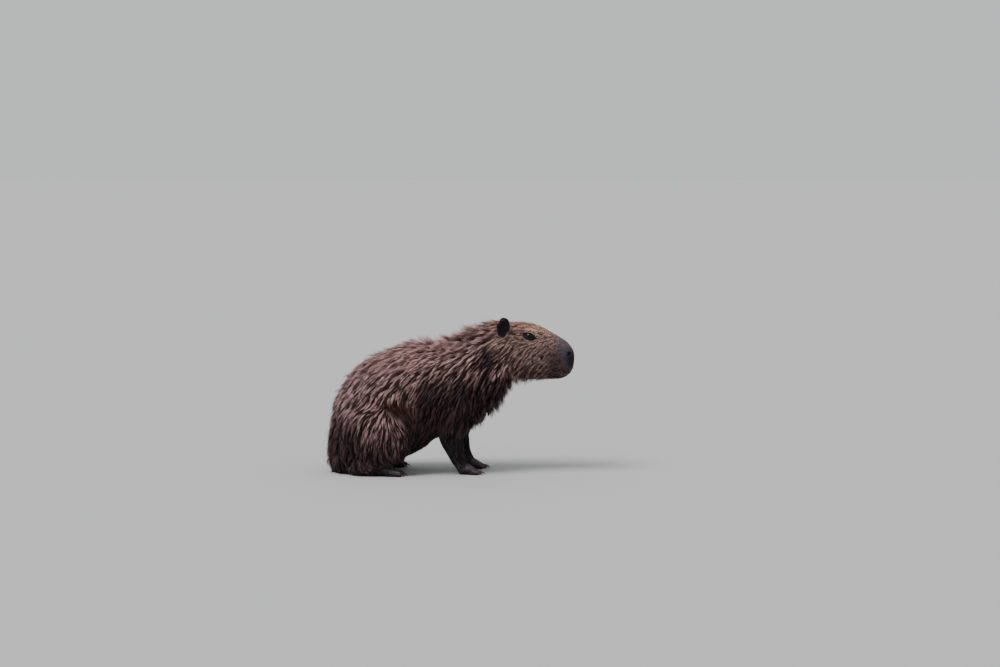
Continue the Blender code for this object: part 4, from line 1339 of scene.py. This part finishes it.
def marked_colour(finish, along, lively, light):
    """The coat's colour from its markings, painted light, shade and sheen among them.

    along is 0 at the root and 1 at the tip, lively differs from tuft to tuft, light from lock to lock.
    """
    head, crown, snout, dark = finish.marks("marks_a")
    leg, under, red, pale = finish.marks("marks_b")
    # gleam: paler tips on the lighter locks, partly the hair's own tone and partly a painted highlight.
    gleam = light.eased(0.26, 0.62) * along.eased(0.05, 0.62)
    # The underside mark darkens the coat: partly darker fur, partly painted shade.
    shade = under.eased(0.0, 0.90) * 0.96
    underside_and_shade_colour = finish.mixed(gleam, UNDER_AND_SHADE_DARK, UNDER_AND_SHADE_BROWN)
    # The crest is lighter: partly paler hair, partly painted light from above.
    body = finish.mixed(crown * 0.8, BROWN, CREST_BROWN_AND_TOP_LIGHT)
    body = finish.mixed(along.eased(0.05, 0.75), ROOT_BROWN, body)
    body = finish.mixed(gleam, body, MAUVE_TAN)
    body = finish.mixed(shade, body, underside_and_shade_colour)
    body = finish.mixed(red * (0.25 + 0.6 * lively), body, FOX_RED)
    face = finish.mixed(crown, FACE_BROWN, CROWN_BROWN)
    face = finish.mixed(along.eased(0.0, 0.7), FACE_ROOT, face)
    face = finish.mixed(gleam, face, finish.mixed(crown * 0.8, FACE_TAN, CROWN_TAN))
    face = finish.mixed(shade, face, underside_and_shade_colour)
    muzzle = finish.mixed(light, SNOUT_DARK, SNOUT_LILAC)
    face = finish.mixed(snout * (0.70 + 0.3 * lively), face, muzzle)
    colour = finish.mixed(head, body, face)
    # Painted grey sheen on the lighter tips of the leg and ear hair.
    legs = finish.mixed(light.eased(0.30, 1.0) * along.eased(0.1, 0.9) * 0.9, LEG_BLACK, LEG_SHEEN_GREY)
    # Painted lilac sheen on the tops of the toes, which share the snout's mark.
    legs = finish.mixed(snout * (0.25 + 0.5 * light), legs, TOE_SHEEN_LILAC)
    colour = finish.mixed(leg, colour, legs)
    colour = finish.mixed(pale * (0.4 + 0.4 * lively), colour, PALE_TAN)
    leather = finish.mixed((dark * 1.2 - 0.35 * lively).eased(0.40, 0.95), NOSE_GREY, NOSE_DARK)
    return finish.mixed((dark * 1.3 - 0.3 * lively).eased(0.05, 0.80), colour, leather)


def coat_finish():
    """Coarse hair with a damp sheen, darker at the root."""
    finish = Finish("coat_hair", Roughness=0.38, IOR=1.45, Specular_IOR_Level=0.30)
    along, lively, lock, edge = finish.marks("strand")
    # Each lock's lightness, partly its own tone and partly painted light and shade, darker near the lock's
    # edge as painted shade between the locks.
    light = (lock * 0.80 + lively * 0.20) * (1.0 - 0.72 * edge)
    finish.feed("Base Color", marked_colour(finish, along, lively, light))
    return finish.material


def skin_finish():
    """Dark skin under the coat, and bare leather where no hair grows."""
    finish = Finish("skin_leather", Roughness=0.55, IOR=1.42, Specular_IOR_Level=0.30)
    fine = finish.noise(900.0, 4.0)
    coarse = finish.noise(160.0, 3.0)
    strand = finish.marks("strand")
    ear, wet = strand[1], strand[2]
    along = (0.12 + 0.5 * strand[0] + 0.25 * coarse).clamp()
    colour = marked_colour(finish, along, fine, coarse * 0.9)
    colour = finish.mixed(ear * 0.96, colour, EAR_BLACK)
    # Painted shade: the nostrils' pits near black.
    colour = finish.mixed(strand[3], colour, NOSTRIL_SHADE_BLACK)
    finish.feed("Base Color", colour)
    finish.feed("Roughness", 0.62 - 0.25 * wet + 0.12 * (fine - 0.5))
    finish.bumped(fine * 0.4 + coarse * 0.6, 0.55, 1.2 * MM)
    return finish.material


def eye_finish(side):
    """A dark brown iris round a darker pupil, under a wet cornea."""
    finish = Finish(f"eye_wet_{side}", Roughness=0.08, Specular_IOR_Level=0.30, IOR=1.40)
    out, _, _ = eye_axes(side)
    ways = {0: finish.place(), 1: tuple(out / EYE_RADIUS)}
    facing = finish.node("ShaderNodeVectorMath", {"operation": "DOT_PRODUCT"}, ways, "Value")
    iris = finish.mixed(finish.noise(700.0, 4.0), IRIS_DARK, IRIS_BROWN)
    colour = finish.mixed(facing.eased(0.82, 0.88), iris, PUPIL)
    finish.feed("Base Color", finish.mixed(facing.eased(0.60, 0.52), colour, EYE_RIM))
    return finish.material


def claw_finish():
    """Brown horn, ridged along the claw and worn paler at its tip."""
    finish = Finish("claw_horn", Roughness=0.42)
    places = {0: finish.place(), 1: (0.25, 1.0, 1.0)}
    stretched = finish.node("ShaderNodeVectorMath", {"operation": "MULTIPLY"}, places, "Vector")
    grain = finish.noise(900.0, 3.0, 0.5, stretched)
    tip = finish.marks("strand")[0]
    colour = finish.mixed(grain, HORN_DARK, HORN_BROWN)
    finish.feed("Base Color", finish.mixed(tip.eased(0.55, 1.0) * 0.5, colour, HORN_TIP))
    finish.bumped(grain, 0.35, 0.6 * MM)
    return finish.material


def eyeball(side):
    """The eye, with the cornea swelling a little in front."""
    out, _, _ = eye_axes(side)
    bm = bmesh.new()
    bmesh.ops.create_uvsphere(bm, u_segments=48, v_segments=32, radius=EYE_RADIUS - EYEBALL_ROOM)
    axis = Vector(out)
    for vert in bm.verts:
        facing = vert.co.normalized().dot(axis)
        vert.co += axis * (CORNEA_SWELL * float(ease(0.70, 0.98, facing)))
    mesh = bpy.data.meshes.new(f"eyeball_{side}")
    bm.to_mesh(mesh)
    bm.free()
    mesh.shade_smooth()
    mesh.materials.append(eye_finish(side))
    eye = shown(f"eyeball_{side}", mesh)
    eye.location = Vector(EYE[side])
    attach(eye, "root")
    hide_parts(f"eye_{side}")


CLAW_RINGS = 9
CLAW_SPOKES = 14
CLAW_MIN_HALF_WIDTH = 3.2 * MM
CLAW_LOWEST = 0.3 * MM


def claw(name, finish):
    """A claw with a rounded back, a flatter sole and a blunt tip, along the way its node points."""
    points = np.array([vert.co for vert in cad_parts[name].data.vertices])
    low_x = points[:, 0].min()
    high_x = points[:, 0].max()
    span = high_x - low_x
    root = points[points[:, 0] < low_x + 0.15 * span].mean(0)
    tip = points[points[:, 0] > high_x - 0.10 * span].mean(0)
    half_wide = (points[:, 1].max() - points[:, 1].min()) / 2
    half_wide = max(CLAW_MIN_HALF_WIDTH, half_wide - 0.5 * abs(tip[1] - root[1]))
    ahead = unit(np.array((tip[0] - root[0], tip[1] - root[1], 0)))
    across = np.array((-ahead[1], ahead[0], 0))
    reach = np.linalg.norm((tip - root)[:2])
    bm = bmesh.new()
    loops = []
    for step in range(CLAW_RINGS):
        t = step / (CLAW_RINGS - 1)
        centre = root + ahead * reach * t
        centre[2] = root[2] + (tip[2] - root[2]) * t**1.5
        wide = half_wide * (1.18 - 0.55 * t**2) * (0.45 if t == 1 else 1)
        tall = half_wide * (0.85 - 0.55 * t) * (0.35 if t == 1 else 1)
        loop = []
        for spoke in range(CLAW_SPOKES):
            angle = 2 * math.pi * spoke / CLAW_SPOKES
            rise = math.sin(angle) * tall * (0.55 if math.sin(angle) < 0 else 1)
            point = centre + across * (wide * math.cos(angle)) + np.array((0, 0, rise))
            point[2] = max(point[2], CLAW_LOWEST)
            loop.append(bm.verts.new(point))
        loops.append(loop)
    for near, far in zip(loops, loops[1:]):
        for i in range(CLAW_SPOKES):
            j = (i + 1) % CLAW_SPOKES
            bm.faces.new((near[i], near[j], far[j], far[i]))
    bm.faces.new(loops[0])
    bm.faces.new(loops[-1])
    bmesh.ops.recalc_face_normals(bm, faces=bm.faces)
    piece_name = name.replace("_claw_", "_nail_")
    mesh = bpy.data.meshes.new(piece_name)
    bm.to_mesh(mesh)
    bm.free()
    mesh.shade_smooth()
    height = np.repeat(np.linspace(0, 1, CLAW_RINGS), CLAW_SPOKES)
    none = np.zeros((len(height), 4))
    set_marks(mesh, none, none, np.stack([height] * 4, 1))
    mesh.materials.append(finish)
    piece = shown(piece_name, mesh)
    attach(piece, "root")
    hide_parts(name)


def dress_skin(skin):
    """Gives the skin its markings and its finish."""
    points, normals = mesh_points(skin.data)
    coat = Coat(points, normals)
    short = ease(16 * MM, 7 * MM, coat.length)
    lids = on_lids(points, 1.5, 1.1)
    lips = ease(3.0 * MM, 1.2 * MM, mouth_distance(points)[0]) * (points[:, 0] > MOUTH_CORNER_X)
    # The nostrils' holes and pits are painted dark: painted shade in the hollows.
    hole = strongest(*(bell(points, place, NOSTRIL_HOLE) for place in both_sides(NOSTRIL)))
    pit = ease(9.5 * MM, 6.0 * MM, distance_to_nostrils(points))
    marks_a = coat.marks_a.copy()
    marks_a[:, 3] = strongest(marks_a[:, 3], lids, np.clip(1.5 * hole, 0, 1), lips)
    strand = np.stack([short, coat.ear, np.maximum(lids, 0.6 * hole), pit], 1)
    set_marks(skin.data, marks_a, coat.marks_b, strand)
    skin.data.materials.clear()
    skin.data.materials.append(skin_finish())
    skin.data.shade_smooth()
    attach(skin, "root")
    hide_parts(*FLESH, *EARS)


def floor_finish():
    """A plain pale surface with a faint mottle."""
    finish = Finish("pale_floor", Roughness=0.90)
    darker = tuple(0.8 * part for part in FLOOR_GREY)
    finish.feed("Base Color", finish.mixed(finish.noise(3.0) * 0.08, FLOOR_GREY, darker))
    return finish.material


FLOOR_RADIUS = 60.0
SKY = 0.70
SKY_COLOUR = (0.97, 0.98, 1.0, 1)
TOP_LIGHT = 2.8
TOP_LIGHT_SPREAD = math.radians(30)
TOP_LIGHT_FROM = (-0.55, -0.38, 1.0)

# The camera of the photograph: its lens and sensor in mm, its place and how far it looks down.
CAMERA_LENS = 85.0
CAMERA_SENSOR = 36.0
CAMERA_PLACE = (0.1692, -8.2323, 1.1604)
CAMERA_PITCH = math.radians(4.69)


def build_stage():
    """A wide pale floor."""
    bpy.ops.mesh.primitive_circle_add(vertices=96, radius=FLOOR_RADIUS, fill_type="NGON")
    floor = bpy.context.object
    floor.name = "studio_floor"
    floor.data.materials.append(floor_finish())


def light_studio():
    """An even pale sky and one very broad soft light from above, a little from the camera's side."""
    world = bpy.data.worlds.new("studio_sky")
    world.use_nodes = True
    sky = world.node_tree.nodes["Background"]
    sky.inputs["Color"].default_value = SKY_COLOUR
    sky.inputs["Strength"].default_value = SKY
    bpy.context.scene.world = world
    data = bpy.data.lights.new("broad_top_light", "SUN")
    data.energy = TOP_LIGHT
    data.angle = TOP_LIGHT_SPREAD
    lamp = bpy.data.objects.new("broad_top_light", data)
    bpy.context.scene.collection.objects.link(lamp)
    lamp.rotation_euler = Vector(TOP_LIGHT_FROM).to_track_quat("Z", "Y").to_euler()


def place_camera():
    """A long lens at the animal's right side, a little over it."""
    data = bpy.data.cameras.new("photo_camera")
    data.lens = CAMERA_LENS
    data.sensor_width = CAMERA_SENSOR
    camera = bpy.data.objects.new("photo_camera", data)
    bpy.context.scene.collection.objects.link(camera)
    camera.location = CAMERA_PLACE
    camera.rotation_euler = (math.radians(90) - CAMERA_PITCH, 0, 0)
    bpy.context.scene.camera = camera


def main():
    """Builds the looks over the frame."""
    for old in [obj for obj in bpy.data.objects if obj.type in ("LIGHT", "CAMERA")]:
        bpy.data.objects.remove(old, do_unlink=True)
    skin = fused_skin()
    ground = Ground(skin)
    unwrap = unwrap_of(skin)
    model_face(skin)
    lighten(skin)
    dress_skin(skin)
    grow_coat(ground, unwrap, coat_finish())
    horn = claw_finish()
    for side in SIDES:
        eyeball(side)
    for name in CLAWS:
        claw(name, horn)
    build_stage()
    light_studio()
    place_camera()


main()
